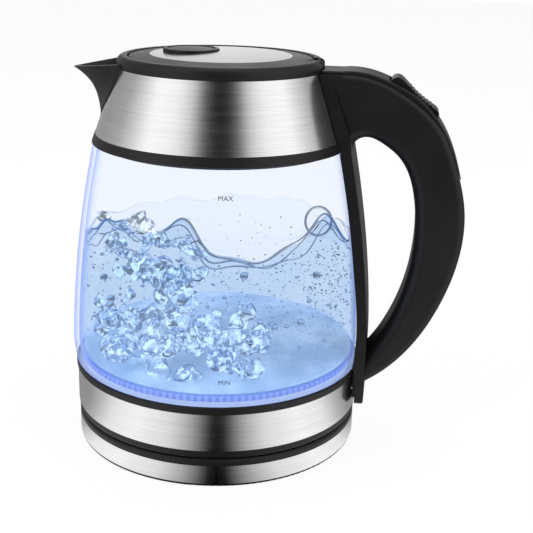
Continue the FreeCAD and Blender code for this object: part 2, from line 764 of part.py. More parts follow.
def heater_housing():
    glass_seat_r = lip_out_r + SLIDE_GAP
    body = lathe([(housing_r, jug_band_z), (housing_r, ring_z), (glass_ring_r, ring_z, EDGE_R),
                  (glass_ring_r, glass_z, EDGE_R), (glass_seat_r, glass_z), (glass_seat_r, flange_top),
                  (upstand_r, flange_top), (upstand_r, plate_z), (flange_in_r, plate_z),
                  (flange_in_r, flange_z), (housing_in_r, flange_z), (housing_in_r, jug_band_z)])
    feet = [V(seat.x, seat.y, foot_top) for seat in foot_screw_seats()]
    body = joined([body] + [rod(foot, UP, foot_boss_r, flange_top - foot_top) for foot in feet])
    bores = [rod(foot, UP, SCREW_R, SCREW_BITE) for foot in feet]
    windows = [rod(place, UP, LED_R + SLIDE_GAP, FLANGE_T) for place in led_places()]
    return without(body, bores + screw_holes() + lead_windows() + windows)


def led_places():
    return [place + UP * flange_z for place in around(LED_COUNT, led_ring_r)]


def led_board():
    return sleeve(flange_z - LED_BOARD_T, LED_BOARD_T, housing_in_r - SLIDE_GAP, flange_in_r + foot_boss_r)


def leds():
    return Part.makeCompound([rod(place, UP, LED_R, LED_SHOW) for place in led_places()])


def lower_seal():
    return sleeve(flange_top, SEAL_T, lip_out_r + SLIDE_GAP, lip_in_r)


def glass_points(offset):
    """Radius and height of the jar's outline, moved outward by an offset."""
    marks = ((glass_ring_r - GLASS_FOOT_IN, GLASS_FOOT_RISE), (GLASS_BELLY_R, GLASS_BELLY_RISE),
             (GLASS_WAIST_R, GLASS_WAIST_RISE), (GLASS_NECK_R, GLASS_NECK_RISE),
             (GLASS_TOP_R, GLASS_H - GLASS_TOP_SINK))
    return [(radius + offset, glass_z + rise) for radius, rise in marks]


def glass_in_r(z):
    """Inside radius of the jar at a height."""
    wall = spline(glass_points(-GLASS_T))
    level = Part.LineSegment(V(0, 0, z), V(2 * GLASS_BELLY_R, 0, z))
    return wall.intersect(level)[0].X


def light_ring():
    foot_r = lip_in_r - SLIDE_GAP
    top = flange_top + LIGHT_RING_H
    lip_z = plate_z + PLATE_T
    step_z = lip_z + LIGHT_RING_STEP
    out_r = min(glass_in_r(step_z), glass_in_r(top)) - LIGHT_RING_GAP
    in_r = out_r - LIGHT_RING_W
    foot_in_r = foot_r - LIGHT_RING_FOOT
    return lathe([(foot_in_r, flange_top), (foot_r, flange_top), (foot_r, lip_z + LIGHT_RING_NECK),
                  (out_r, step_z), (out_r, top, EDGE_R), (in_r, top, EDGE_R), (in_r, lip_z),
                  (foot_in_r, lip_z)])


def heating_plate():
    rim_r = lip_in_r - SLIDE_GAP - LIGHT_RING_FOOT - BAND_T / 3
    rise_r = flange_in_r - UPSTAND_T
    crest_r, under, bend = rise_r - PLATE_RISE, plate_top - PLATE_T, PLATE_T / 2
    return lathe([(0, plate_top), (crest_r, plate_top), (rise_r, plate_z + PLATE_T),
                  (rim_r, plate_z + PLATE_T), (rim_r, plate_z), (rise_r - bend, plate_z),
                  (crest_r - bend, under), (0, under)])


spreader_z = plate_top - PLATE_T - SPREADER_T
element_z = spreader_z - ELEMENT_TUBE_R + ELEMENT_SINK


def element_ring():
    return Part.makeTorus(ELEMENT_R, ELEMENT_TUBE_R, V(0, 0, element_z), UP)


def heat_spreader():
    return rod(V(0, 0, spreader_z), UP, SPREADER_R, SPREADER_T).cut(element_ring())


def heating_element():
    start = math.radians(180 - ELEMENT_ARC / 2)
    arc = Part.makeTorus(ELEMENT_R, ELEMENT_TUBE_R, V(0, 0, element_z), UP, -180, 180, ELEMENT_ARC)
    arc.rotate(ORIGIN, UP, math.degrees(start))
    pins = []
    pin_l = ELEMENT_TUBE_R + ELEMENT_PIN_L
    for side in (-1, 1):
        end = V(ELEMENT_R * math.cos(start), side * ELEMENT_R * math.sin(start), element_z)
        pins.append(rod(end - UP * pin_l, UP, ELEMENT_PIN_R, pin_l))
        pins.append(Part.makeSphere(ELEMENT_TUBE_R, end))
    return joined([arc] + pins).cut(heat_spreader())


def thermostat():
    low = socket_top + SWIVEL_GAP
    half_l, half_w = THERMOSTAT_L / 2, THERMOSTAT_W / 2
    body = block((-half_l, -half_w, low), (half_l, half_w, spreader_z))
    upright = [e for e in body.Edges if abs(e.tangentAt(e.FirstParameter).z) > 0.9]
    return body.makeFillet(THERMOSTAT_R, upright)


def glass_body():
    outer, inner = glass_points(0), glass_points(-GLASS_T)
    neck_in_r = glass_lip_r - GLASS_T
    corners = [(lip_in_r, glass_foot_z), (lip_out_r, glass_foot_z), (lip_out_r, glass_z + GLASS_TURN_OUT),
               outer[0]]
    upper = [outer[-1], (glass_lip_r, trim_z + GLASS_NECK_TURN), (glass_lip_r, seal_z), (neck_in_r, seal_z),
             (neck_in_r, trim_z - GLASS_TOP_SINK), inner[-1]]
    lower = [inner[0], (lip_in_r, glass_z + GLASS_TURN_IN), corners[0]]
    edges = [spline(outer).toShape(), spline(inner).toShape()]
    edges += polyline(corners) + polyline(upper) + polyline(lower)
    return Part.Face(Part.Wire(Part.__sortEdges__(edges))).revolve(ORIGIN, UP, 360)


def upper_seal():
    neck_in_r = glass_lip_r - GLASS_T
    low_z, high_z = trim_z - UPPER_SEAL_DROP, seal_z + SEAL_T / 2
    return lathe([(skirt_out_r, low_z), (neck_in_r, low_z), (neck_in_r, seal_z), (glass_lip_r, seal_z),
                  (glass_lip_r, high_z), (skirt_out_r, high_z)])


def collar_trim():
    in_r = glass_lip_r + TRIM_GAP
    low_z, lip_z = trim_z + TRIM_LIFT, trim_z + TRIM_LIP
    return lathe([(in_r, lip_z), (GLASS_TOP_R + TRIM_LIFT, low_z),
                  (GLASS_TOP_R + TRIM_OUT, low_z, EDGE_R / 3),
                  (COLLAR_LOW_R + TRIM_STEP, collar_z, EDGE_R / 2), (in_r, collar_z)])


def collar_radius(z):
    """Outside of the steel cone at a height."""
    return COLLAR_LOW_R + (COLLAR_TOP_R - COLLAR_LOW_R) * (z - collar_z) / COLLAR_H


spout_h = COLLAR_H + SPOUT_OVER - SPOUT_LOW


def spout_half_width(share):
    """Half width of the spout where it leaves the collar, at a share of its height."""
    power = SPOUT_ROOT_POWER
    return SPOUT_W / 2 * (1 - (1 - share) ** power) ** (1 / power)


def spout_section(share, inset):
    """Horizontal outline of the spout: two straight sides and a round nose."""
    z = collar_z + SPOUT_LOW + spout_h * share
    keel = collar_radius(z) + SPOUT_BULGE * share + SPOUT_FLARE * share ** 4 - inset
    half_w = spout_half_width(share) - SPOUT_SIDE_SHARE * inset
    nose_r = SPOUT_NOSE_R - SPOUT_NOSE_SHARE * inset
    root_x = math.sqrt(collar_radius(z) ** 2 - half_w ** 2)
    half = math.atan2(half_w, keel - root_x)
    apex = V(-keel - nose_r * (1 / math.sin(half) - 1), 0, z + SPOUT_FLOOR_SHARE * inset)
    reach = nose_r / math.tan(half)
    inner = (-apex.x - root_x) / math.cos(half) * SPOUT_ROOT_REACH
    far, near = V(math.cos(half), math.sin(half), 0), V(math.cos(half), -math.sin(half), 0)
    points = [apex + near * inner, apex + near * reach, apex + far * reach, apex + far * inner]
    nose = Part.Arc(points[1], V(-keel, 0, apex.z), points[2]).toShape()
    return Part.Wire([Part.makeLine(points[0], points[1]), nose, Part.makeLine(points[2], points[3]),
                      Part.makeLine(points[3], points[0])])


def spout_horn(inset):
    """Solid horn of the spout, or its channel when inset by the wall."""
    shares = [share for share in SPOUT_SHARES if spout_half_width(share) > 4 * inset]
    return Part.makeLoft([spout_section(share, inset) for share in shares], True, False)


def spout_window(room):
    """Prism round the spout where it comes out of the collar."""
    low_z = collar_z + SPOUT_LOW - room
    sides = []
    for share in SPOUT_SHARES:
        sides.append((spout_half_width(share) + room, collar_z + SPOUT_LOW + spout_h * share))
    right = [V(0, y, z) for y, z in sides]
    left = [V(0, -y, z) for y, z in reversed(sides)]
    outline = Part.makePolygon(left + [V(0, 0, low_z)] + right + [left[0]])
    return Part.Face(outline).extrude(V(-SPOUT_TIP_X - FAR, 0, 0))


def above_lip():
    """Everything above the sloping lip of the spout."""
    tip_z, root_z = crown_z - SPOUT_TIP_DROP, crown_z - SPOUT_LIP_DROP
    slope = (root_z - tip_z) / (SPOUT_TIP_X - RING_R)
    far_x, roof_z = SPOUT_TIP_X + FAR, crown_z + FAR
    wire = rounded([(-far_x, tip_z - FAR * slope), (0, root_z + RING_R * slope), (0, roof_z),
                    (-far_x, roof_z)])
    return prism(wire, 4 * SPOUT_W)


def neck_core(inset):
    """Space inside the collar's wall."""
    low_r, top_r = frame_low_r - inset, frame_top_r - inset
    floor, roof = collar_z - FAR, crown_z + FAR
    return lathe([(0, floor), (low_r, floor), (low_r, collar_z), (top_r, top_z), (top_r, roof), (0, roof)])


def collar_frame():
    in_low, in_top = frame_low_r - COLLAR_T, frame_top_r - COLLAR_T
    skirt_in_r = skirt_out_r - COLLAR_SKIRT_T
    skirt_z, step_z = trim_z - COLLAR_SKIRT_H, seal_z + SEAL_T / 2
    liner = lathe([(skirt_in_r, skirt_z), (skirt_out_r, skirt_z), (skirt_out_r, step_z),
                   (frame_low_r, step_z), (frame_low_r, collar_z), (frame_top_r, top_z), (in_top, top_z),
                   (in_low, collar_z), (skirt_in_r, collar_z - COLLAR_SLOPE_DROP)])
    horn = spout_horn(0).cut(above_lip()).cut(neck_core(COLLAR_T))
    horn = horn.common(spout_window(SPOUT_SEAM - SEAM_GAP))
    ring_room = rod(V(0, 0, top_z), UP, RING_R + TRIM_GAP, FAR)
    body = joined([liner, horn.cut(ring_room)])
    return without(body, [spout_horn(SPOUT_WALL), notch(), duct_tool(DUCT_R)] + screw_holes())


def collar_band():
    body = lathe([(frame_low_r, collar_z), (COLLAR_LOW_R, collar_z), (COLLAR_TOP_R, top_z),
                  (frame_top_r, top_z)])
    return without(body, [spout_window(SPOUT_SEAM), duct_tool(DUCT_R)] + screw_holes())


def spout_filter():
    slope = math.degrees(math.atan2(frame_low_r - frame_top_r, COLLAR_H))
    plate = block((-FILTER_T, -FILTER_W / 2, 0), (0, FILTER_W / 2, FILTER_H))
    first = -FILTER_SLOT_PITCH * (FILTER_SLOTS - 1) / 2
    for i in range(FILTER_SLOTS):
        y = first + i * FILTER_SLOT_PITCH
        low_z = (FILTER_H - FILTER_SLOT_H) / 2
        plate = plate.cut(block((-FILTER_T, y - FILTER_SLOT_W / 2, low_z),
                                (0, y + FILTER_SLOT_W / 2, low_z + FILTER_SLOT_H)))
    plate.rotate(ORIGIN, NORTH, slope)
    low = collar_z + FILTER_LOW
    plate.translate(V(-(collar_radius(low) - BAND_T - COLLAR_T - FILTER_IN), 0, low))
    return plate.common(neck_core(COLLAR_T))


def notch():
    """Gap in the back of the ring for the lid's knuckles."""
    half = KNUCKLE_W / 2 + NOTCH_GAP
    low_z = hinge_z - KNUCKLE_R - NOTCH_GAP
    return block((LID_OPENING_R - RING_H, -half, low_z), (RING_R + RING_H, half, crown_z + FAR))


def hinge_rod(radius, length):
    return rod(V(HINGE_X, -length / 2, hinge_z), NORTH, radius, length)


def top_ring():
    skirt_z, skirt_r = top_z - RING_SKIRT_H, LID_OPENING_R + RING_SKIRT_T
    body = lathe([(LID_OPENING_R, skirt_z), (skirt_r, skirt_z), (skirt_r, top_z),
                  (RING_R, top_z, EDGE_R / 2), (RING_R, crown_z, RING_SHOULDER_R),
                  (LID_OPENING_R, crown_z, EDGE_R)])
    half = SPOUT_W / 2 - SPOUT_WALL
    spout_gap = block((-RING_R, -half, skirt_z), (-LID_OPENING_R / 2, half, top_z))
    return without(body, [spout_gap, notch(), hinge_rod(HINGE_PIN_R, HINGE_PIN_L)])


def hinge_pin():
    return hinge_rod(HINGE_PIN_R, HINGE_PIN_L)


def lid_spring():
    pitch = (KNUCKLE_GAP - 4 * SPRING_WIRE_R) / LID_SPRING_TURNS
    coil = spring(LID_SPRING_R, pitch, LID_SPRING_TURNS)
    coil.rotate(ORIGIN, EAST, -90)
    coil.translate(V(HINGE_X, -pitch * LID_SPRING_TURNS / 2, hinge_z))
    return coil


def dome(offset):
    """Solid under the lid's domed top, lowered by an offset."""
    rim, top = V(lid_r, 0, lid_rim_z - offset), V(0, 0, dome_z - offset)
    half_r = lid_r / 2
    middle = V(half_r, 0, dome_z - offset - LID_DOME / 4)
    floor = lid_skirt_z - FAR
    edges = [Part.Arc(top, middle, rim).toShape(), Part.makeLine(rim, V(lid_r, 0, floor)),
             Part.makeLine(V(lid_r, 0, floor), V(0, 0, floor)), Part.makeLine(V(0, 0, floor), top)]
    return Part.Face(Part.Wire(edges)).revolve(ORIGIN, UP, 360)


def button_rod(radius, low, high):
    return rod(V(BUTTON_X, 0, low), UP, radius, high - low)


bezel_top = dome_z - LID_DOME * (BUTTON_X / lid_r) ** 2 + BEZEL_H
bezel_floor = bezel_top - BEZEL_DEPTH
button_top = bezel_top + BUTTON_PROUD
button_under = button_top - BUTTON_T - BUTTON_CROWN
bezel_bore_r = BUTTON_R + SLIDE_GAP
bezel_tube_r = bezel_bore_r + BEZEL_WALL
lid_base_top = lid_skirt_z
lid_flange_z = lid_base_top - LID_FLANGE_H
lid_wall_r = lid_r - LID_SEAL_W
lid_floor_z = lid_flange_z - LID_SEAL_H - LID_UNDER_T
lid_floor_top = lid_floor_z + LID_BASE_T
latch_z = lid_floor_top + LATCH_LIFT
latch_nose_x = -lid_r + LATCH_BACK


def lid_screw_seats():
    return [p + V(0, 0, lid_floor_z + SCREW_HEAD_H) for p in around(LID_SCREW_COUNT, LID_SCREW_RING_R)]


def latch_room(gap):
    """Space that the latch bolt slides in."""
    half, end_x = LATCH_W / 2 + gap, latch_nose_x + LATCH_L + gap
    return block((latch_nose_x - FAR, -half, latch_z - gap), (end_x, half, latch_z + LATCH_T + gap))


def lid_cap():
    below = V(0, 0, lid_skirt_z - FAR)
    shell = dome(0).cut(dome(LID_T + LID_PLATE_T).common(rod(below, UP, lid_in_r, 2 * FAR)))
    shell = shell.cut(rod(below, UP, lid_r + CUT_OVER, FAR))
    shell = shell.cut(rod(V(0, 0, lid_skirt_z), UP, LID_PLATE_R, FAR).cut(dome(LID_PLATE_T)))
    rim = [e for e in shell.Edges
           if abs(e.BoundBox.ZMin - lid_rim_z) < 0.01 and e.BoundBox.XMax > lid_r - 0.01]
    shell = shell.makeFillet(LID_EDGE_R, rim)
    feet = [V(seat.x, seat.y, lid_floor_top) for seat in lid_screw_seats()]
    posts = [rod(foot, UP, SCREW_R + BOSS_WALL, lid_rim_z - lid_floor_top - LID_T / 2) for foot in feet]
    half, low_z, high_z = KNUCKLE_W / 2, hinge_z - ARM_LOW, hinge_z + ARM_HIGH
    arm = block((lid_in_r - KNUCKLE_R, -half, low_z), (HINGE_X, half, high_z))
    arm = arm.cut(rod(V(0, 0, lid_skirt_z), UP, lid_in_r, FAR))
    shell = joined([shell, hinge_rod(KNUCKLE_R, KNUCKLE_W), arm] + posts)
    gap, reach = KNUCKLE_GAP / 2, 3 * KNUCKLE_R
    spring_room = block((lid_r + SEAM_GAP, -gap, hinge_z - reach), (RING_R + reach, gap, hinge_z + reach))
    heel_top = hinge_z + KNUCKLE_R / 2
    past = lid_r + CUT_OVER
    heel = sleeve(lid_skirt_z, heel_top - lid_skirt_z, past, lid_r - HEEL_RELIEF)
    heel = heel.cut(block((-past, -past, lid_skirt_z), (lid_r * HEEL_START, past, heel_top)))
    heel = heel.cut(block((0, -half, lid_skirt_z), (past, half, heel_top)))
    tools = [heel] + [rod(foot, UP, SCREW_R, SCREW_BITE) for foot in feet]
    tools += [spring_room, hinge_rod(HINGE_PIN_R + PIN_GAP, HINGE_PIN_L), latch_room(SLIDE_GAP)]
    tools.append(button_rod(bezel_tube_r, lid_skirt_z, dome_z + FAR))
    return without(shell, tools)


def lid_plate():
    disc = rod(V(0, 0, lid_skirt_z), UP, LID_PLATE_R - SEAM_GAP, FAR).common(dome(0)).cut(dome(LID_PLATE_T))
    return disc.cut(button_rod(bezel_tube_r, lid_skirt_z, dome_z + FAR))


def button_bezel():
    flange = button_rod(BEZEL_R, bezel_top - BEZEL_SINK, bezel_top)
    rims = [e for e in flange.Edges if abs(e.BoundBox.ZMin - bezel_top) < 0.01]
    flange = flange.makeFillet(BEZEL_EDGE_R, rims).cut(dome(0))
    tube = button_rod(bezel_tube_r, bezel_floor, bezel_top - BEZEL_TUBE_DROP)
    bore = button_rod(bezel_bore_r, bezel_floor + BEZEL_FLOOR_T, bezel_top + FAR)
    stem = button_rod(BUTTON_STEM_R + SLIDE_GAP, bezel_floor - CUT_OVER, bezel_top)
    return without(joined([flange, tube]), [bore, stem])


def lid_button():
    disc = button_rod(BUTTON_R, button_under, button_top)
    ball_r = (BUTTON_R ** 2 + BUTTON_CROWN ** 2) / (2 * BUTTON_CROWN)
    disc = disc.common(Part.makeSphere(ball_r, V(BUTTON_X, 0, button_top - ball_r)))
    stem_z = latch_z + LATCH_T + SLIDE_GAP + BUTTON_TRAVEL
    stem = button_rod(BUTTON_STEM_R, stem_z, button_under + BUTTON_STEM_IN)
    return joined([disc, stem])


def button_spring():
    low = bezel_floor + BEZEL_FLOOR_T + SPRING_WIRE_R
    pitch = (button_under - SPRING_WIRE_R - low) / BUTTON_SPRING_TURNS
    coil = spring(BUTTON_SPRING_R, pitch, BUTTON_SPRING_TURNS)
    coil.translate(V(BUTTON_X, 0, low))
    return coil


def lid_base():
    under_r = lid_r - LID_UNDER_IN
    flange_r, edge_z, wall_in_r = lid_r - LID_GAP, lid_floor_z + LID_UNDER_T, lid_wall_r - LID_BASE_T
    body = lathe([(0, lid_floor_z), (under_r, lid_floor_z, EDGE_R), (under_r, edge_z), (lid_wall_r, edge_z),
                  (lid_wall_r, lid_flange_z), (flange_r, lid_flange_z), (flange_r, lid_base_top),
                  (lid_in_r - LID_SKIRT_T, lid_base_top), (wall_in_r, lid_flange_z),
                  (wall_in_r, lid_floor_top), (0, lid_floor_top)])
    rest = latch_nose_x + LATCH_L + LATCH_SPRING_L
    half, low_z, high_z = LATCH_W / 2 + SLIDE_GAP, lid_floor_top - LID_BASE_T / 4, latch_z + LATCH_T
    side, first = half + LATCH_RAIL_T, latch_nose_x + LATCH_SPRING_L
    stop = block((rest, -side, low_z), (rest + LATCH_RAIL_T, side, high_z))
    rails = [block((first, half, low_z), (rest, side, high_z)),
             block((first, -side, low_z), (rest, -half, high_z))]
    body = joined([body, stop] + rails)
    tools = [latch_room(SLIDE_GAP)]
    for s in lid_screw_seats():
        tools.append(rod(s - UP * SCREW_HEAD_H, UP, SCREW_HEAD_R, SCREW_HEAD_H))
        tools.append(rod(s, UP, SCREW_R, LID_BASE_T))
    return without(body, tools)


def lid_screws():
    return Part.makeCompound([screw_solid(seat, UP, lid_floor_top - seat.z) for seat in lid_screw_seats()])


def lid_seal():
    low_z, lip_z = lid_flange_z - LID_SEAL_H, lid_flange_z - LID_SEAL_H / 2
    return lathe([(lid_wall_r, low_z), (lid_r - LID_SEAL_LOW_IN, low_z),
                  (LID_OPENING_R - LID_SEAL_GAP, lip_z), (lid_r - LID_SEAL_TOP_IN, lid_flange_z),
                  (lid_wall_r, lid_flange_z)])


def latch_bolt():
    half = LATCH_W / 2
    body = block((latch_nose_x, -half, latch_z), (latch_nose_x + LATCH_L, half, latch_z + LATCH_T))
    body = body.common(rod(V(0, 0, latch_z), UP, -latch_nose_x, LATCH_T))
    front, low_z = latch_nose_x - CUT_OVER, latch_z - CUT_OVER
    ramp = rounded([(front, low_z), (latch_nose_x + LATCH_RAMP_L, low_z), (front, latch_z + LATCH_RAMP_H)])
    return body.cut(prism(ramp, 2 * LATCH_W))


def latch_spring():
    pitch = (LATCH_SPRING_L - 2 * SPRING_WIRE_R) / LATCH_SPRING_TURNS
    coil = spring(min(LATCH_SPRING_R, LATCH_T / 2 + LATCH_SPRING_OVER), pitch, LATCH_SPRING_TURNS)
    coil.rotate(ORIGIN, NORTH, 90)
    coil.translate(V(latch_nose_x + LATCH_L + SPRING_WIRE_R, 0, latch_z + LATCH_T / 2))
    return coil


def body_room(gap):
    """The jug's outside, grown by a gap, for what stands round it."""
    points = glass_points(gap)
    edges = [spline(points).toShape()]
    ring_r, roof, rim_z = glass_ring_r + gap, crown_z + FAR, top_z - gap
    chain = [points[0], (ring_r, glass_z), (ring_r, ring_z - gap), (JUG_R + gap, ring_z - gap),
             (JUG_R + gap, 0), (0, 0), (0, roof), (block_x, roof), (block_x, rim_z),
             (COLLAR_TOP_R + gap, rim_z), (COLLAR_LOW_R + gap, collar_z),
             (GLASS_TOP_R + TRIM_OUT + gap, trim_z), points[-1]]
    edges += polyline(chain)
    return Part.Face(Part.Wire(Part.__sortEdges__(edges))).revolve(ORIGIN, UP, 360)


# Shape of the grip in the plane of the handle. Points are shares of the handle's reach outside the strap,
# and of the shoulder's drop below the top of the ring or of the grip's height above the jug's band.
def shoulder(out, drop):
    return (strap_x + out * HANDLE_REACH, crown_z - drop * SHOULDER_DROP)


def grip(out, rise):
    return (strap_x + out * HANDLE_REACH, jug_band_z + rise * grip_h)


def frame_curve():
    """Outer line of the handle frame, under the spine and then down the back of the grip."""
    root_low = jug_band_z + HANDLE_JOIN_LOW - HANDLE_ROOT_H
    return spline([(spine_x, head_top), shoulder(-0.1111, 0.1496), shoulder(0.3467, 0.3568),
                   shoulder(0.6733, 0.6432), shoulder(0.8556, 1.0), grip(1.0, 0.821), grip(0.9867, 0.6509),
                   grip(0.82, 0.4586), grip(0.4711, 0.253), (strap_x - ROOT_SINK, root_low - ROOT_FALL)])


def spine_curve():
    """Outer line of the spine, from the hinge cover to its thin tail."""
    return spline([(spine_x, spine_top), shoulder(-0.0756, 0.1175), shoulder(0.1556, 0.2009),
                   shoulder(0.3822, 0.3184), shoulder(0.68, 0.609), shoulder(0.8778, 1.0),
                   shoulder(0.9311, 1.1709)])


def hole_points():
    """Inner line of the grip, from the strap up to the corner of the finger hole."""
    join_z = jug_band_z + HANDLE_JOIN_LOW
    corner_x = GLASS_TOP_R + STRAP_OFF + HOLE_CORNER_R + STRAP_GAP
    return [(strap_x - ROOT_SINK, join_z - HOLE_FALL), (strap_x, join_z - HOLE_FACE_FALL),
            grip(0.2067, 0.3454), grip(0.3956, 0.5207), grip(0.4667, 0.7226), grip(0.4244, 0.8706),
            shoulder(0.26, 1.0), shoulder(0.0489, 0.8355), (corner_x, crown_z - 0.7756 * SHOULDER_DROP)]


def grip_wire():
    outer, points = frame_curve(), hole_points()
    end_x, end_z = points[-1]
    turn = HOLE_CORNER_R * math.sqrt(0.5)
    corner = (end_x - HOLE_CORNER_R, end_z - HOLE_CORNER_R)
    inner = spline(points + [(end_x - turn, corner[1] + turn), corner])
    edges = [outer.toShape(), Part.makeLine(outer.EndPoint, inner.StartPoint), inner.toShape()]
    start = outer.StartPoint
    edges += polyline([corner, (corner[0] - STRAP_OFF, corner[1]), (start.x, corner[1] + GRIP_W / 2),
                       (start.x, start.z)])
    return Part.Wire(edges)


def grip_blank():
    """C-shaped grip with its long edges rounded."""
    body = prism(grip_wire(), GRIP_W)
    outer, inner = [], []
    for edge in body.Edges:
        box = edge.BoundBox
        if box.YLength > 0.01 or edge.Curve.TypeId == "Part::GeomLine":
            continue
        middle = edge.valueAt((edge.FirstParameter + edge.LastParameter) / 2)
        (outer if middle.x > strap_x + HANDLE_REACH * 2 / 3 else inner).append(edge)
    body = body.makeFillet(GRIP_OUTER_R, outer)
    keep = []
    for edge in body.Edges:
        box = edge.BoundBox
        if box.YLength > 0.01 or abs(abs(box.YMin) - GRIP_W / 2) > 0.01:
            continue
        if any(edge.CenterOfMass.distanceToPoint(old.CenterOfMass) < 0.5 for old in inner):
            keep.append(edge)
    return body.makeFillet(GRIP_INNER_R, keep)


def inset(curve, distance):
    """Curve moved towards the middle of the grip, short of both its ends."""
    edge = curve.toShape()
    first, last = edge.FirstParameter, edge.LastParameter
    points = []
    for i in range(1, INSET_STEPS):
        u = first + (last - first) * i / INSET_STEPS
        place, lead = edge.valueAt(u), edge.tangentAt(u)
        points.append((place.x + lead.z * distance, place.z - lead.x * distance))
    return spline(points)


def grip_cavity():
    """Hollow of the grip."""
    outer, inner = inset(frame_curve(), GRIP_WALL), inset(spline(hole_points()), GRIP_WALL)
    edges = [outer.toShape(), Part.makeLine(outer.EndPoint, inner.StartPoint), inner.toShape(),
             Part.makeLine(inner.EndPoint, outer.StartPoint)]
    return prism(Part.Wire(edges), GRIP_W - 2 * GRIP_WALL)


def strap_blank():
    """Strap that runs down the jug, flat outside, before the jug's outside is cut from it."""
    points = glass_points(STRAP_OFF)[1:]
    top_r = COLLAR_TOP_R + STRAP_OFF + STRAP_TOP_OUT
    bend = STRAP_FOOT_R * (1 - math.sqrt(0.5))
    toe, heel = (strap_x, strap_low_z + STRAP_FOOT_R), (strap_x - STRAP_FOOT_R, strap_low_z)
    chain = [points[-1], (COLLAR_LOW_R + STRAP_OFF + STRAP_COLLAR_OUT, collar_z), (top_r, head_top),
             (LID_OPENING_R, head_top), (LID_OPENING_R, collar_z - FAR), (strap_back_x, ring_z),
             (strap_back_x, strap_low_z), heel]
    edges = polyline(chain) + polyline([toe, (strap_x, glass_z), points[0]])
    edges.append(Part.Arc(at(heel), at((strap_x - bend, strap_low_z + bend)), at(toe)).toShape())
    edges.append(spline(points).toShape())
    body = prism(Part.Wire(Part.__sortEdges__(edges)), STRAP_W)
    half, top_half = STRAP_W / 2, STRAP_TOP_W / 2
    low_z, high_z, bend = collar_z - STRAP_TAPER_LOW, top_z - STRAP_TAPER_HIGH, STRAP_SHOULDER_R
    front = rounded([(-half, strap_low_z, STRAP_CORNER_R), (half, strap_low_z, STRAP_CORNER_R),
                     (half, low_z, bend), (top_half, high_z, bend), (top_half, crown_z), (-top_half, crown_z),
                     (-top_half, high_z, bend), (-half, low_z, bend)])
    mask = Part.Face(front).extrude(V(0, 2 * strap_x, 0))
    mask.rotate(ORIGIN, UP, -90)
    return body.common(mask)


def switch_room():
    """Pocket under the rocker for the switch and its leads."""
    half = SWITCH_L / 2 + SWITCH_FOOT_L
    deep = SWITCH_BODY_DEEP + SWITCH_BODY_H + ROCKER_WALL
    side = SPINE_W / 2 - SPINE_SIDE
    return tilt_to_switch(block((-half, -side, -deep), (half, side, FAR)))


def switch_shelf():
    """Room that the hollow of the grip leaves for the shelf under the switch."""
    half = SWITCH_BODY_L / 2 + SWITCH_FOOT_L
    deep = SWITCH_BODY_DEEP + SWITCH_BODY_H + ROCKER_WALL
    return tilt_to_switch(block((-half, -GRIP_W, -deep - SWITCH_SHELF_T), (half, GRIP_W, -deep)))


def duct_tool(radius):
    return rod(V(duct_x, 0, duct_z), EAST, radius, DUCT_L + STRAP_OFF)


def steam_room():
    """Passage in the head of the handle from the duct to the switch."""
    start, half = duct_x + DUCT_L, STEAM_DISC_R + STEAM_ROOM_GAP
    passage = block((start, -half, duct_z - half), (switch_x - SWITCH_L / 4, half, duct_z + DUCT_R))
    seat = rod(V(start, 0, duct_z), EAST, STEAM_DISC_R + SLIDE_GAP, 2 * STEAM_DISC_IN)
    return joined([passage, seat])


def lead_channel():
    """Groove up the inside of the strap for the leads."""
    low = lead_exit_z - 3 * LEAD_R
    strip = block((0, -CHANNEL_W / 2, low), (strap_x + FAR, CHANNEL_W / 2, top_z - RING_H))
    return body_room(STRAP_GAP + CHANNEL_T).common(strip)


def strap_pad():
    """Filling between the steel band and the flat back of the strap."""
    half, out_x = STRAP_PAD_W / 2, strap_back_x + STRAP_FOOT_R / 2
    return block((housing_in_r, -half, strap_low_z + STRAP_FOOT_R), (out_x, half, ring_z))


def handle_frame():
    half = GRIP_W / 2
    head = block((LID_OPENING_R, -half, top_z - half), (spine_x + HEAD_OVERLAP, half, head_top))
    body = joined([joined([strap_blank(), grip_blank()]), head, strap_pad()])
    tools = [grip_cavity().cut(switch_shelf()), body_room(STRAP_GAP), lead_channel(), switch_room(),
             steam_room(), duct_tool(DUCT_R)]
    return without(body, tools + screw_holes())


def hinge_cover():
    half = SPINE_W / 2
    blank = block((LID_OPENING_R, -half, head_top), (spine_x - SEAM_GAP, half, spine_top))
    along = [e for e in blank.Edges if abs(e.BoundBox.ZMin - spine_top) < 0.01 and e.BoundBox.XLength > 1]
    return blank.makeFillet(SPINE_EDGE_R, along).cut(body_room(STRAP_GAP))


def switch_slot():
    half_l, half_w = SWITCH_L / 2 + SWITCH_GAP, SWITCH_W / 2 + SWITCH_SIDE_GAP
    return tilt_to_switch(block((-half_l, -half_w, -FAR), (half_l, half_w, FAR)))


def switch_axle(radius, length):
    axle = rod(V(0, -length / 2, -SWITCH_PIN_DEEP), NORTH, radius, length)
    return tilt_to_switch(axle)


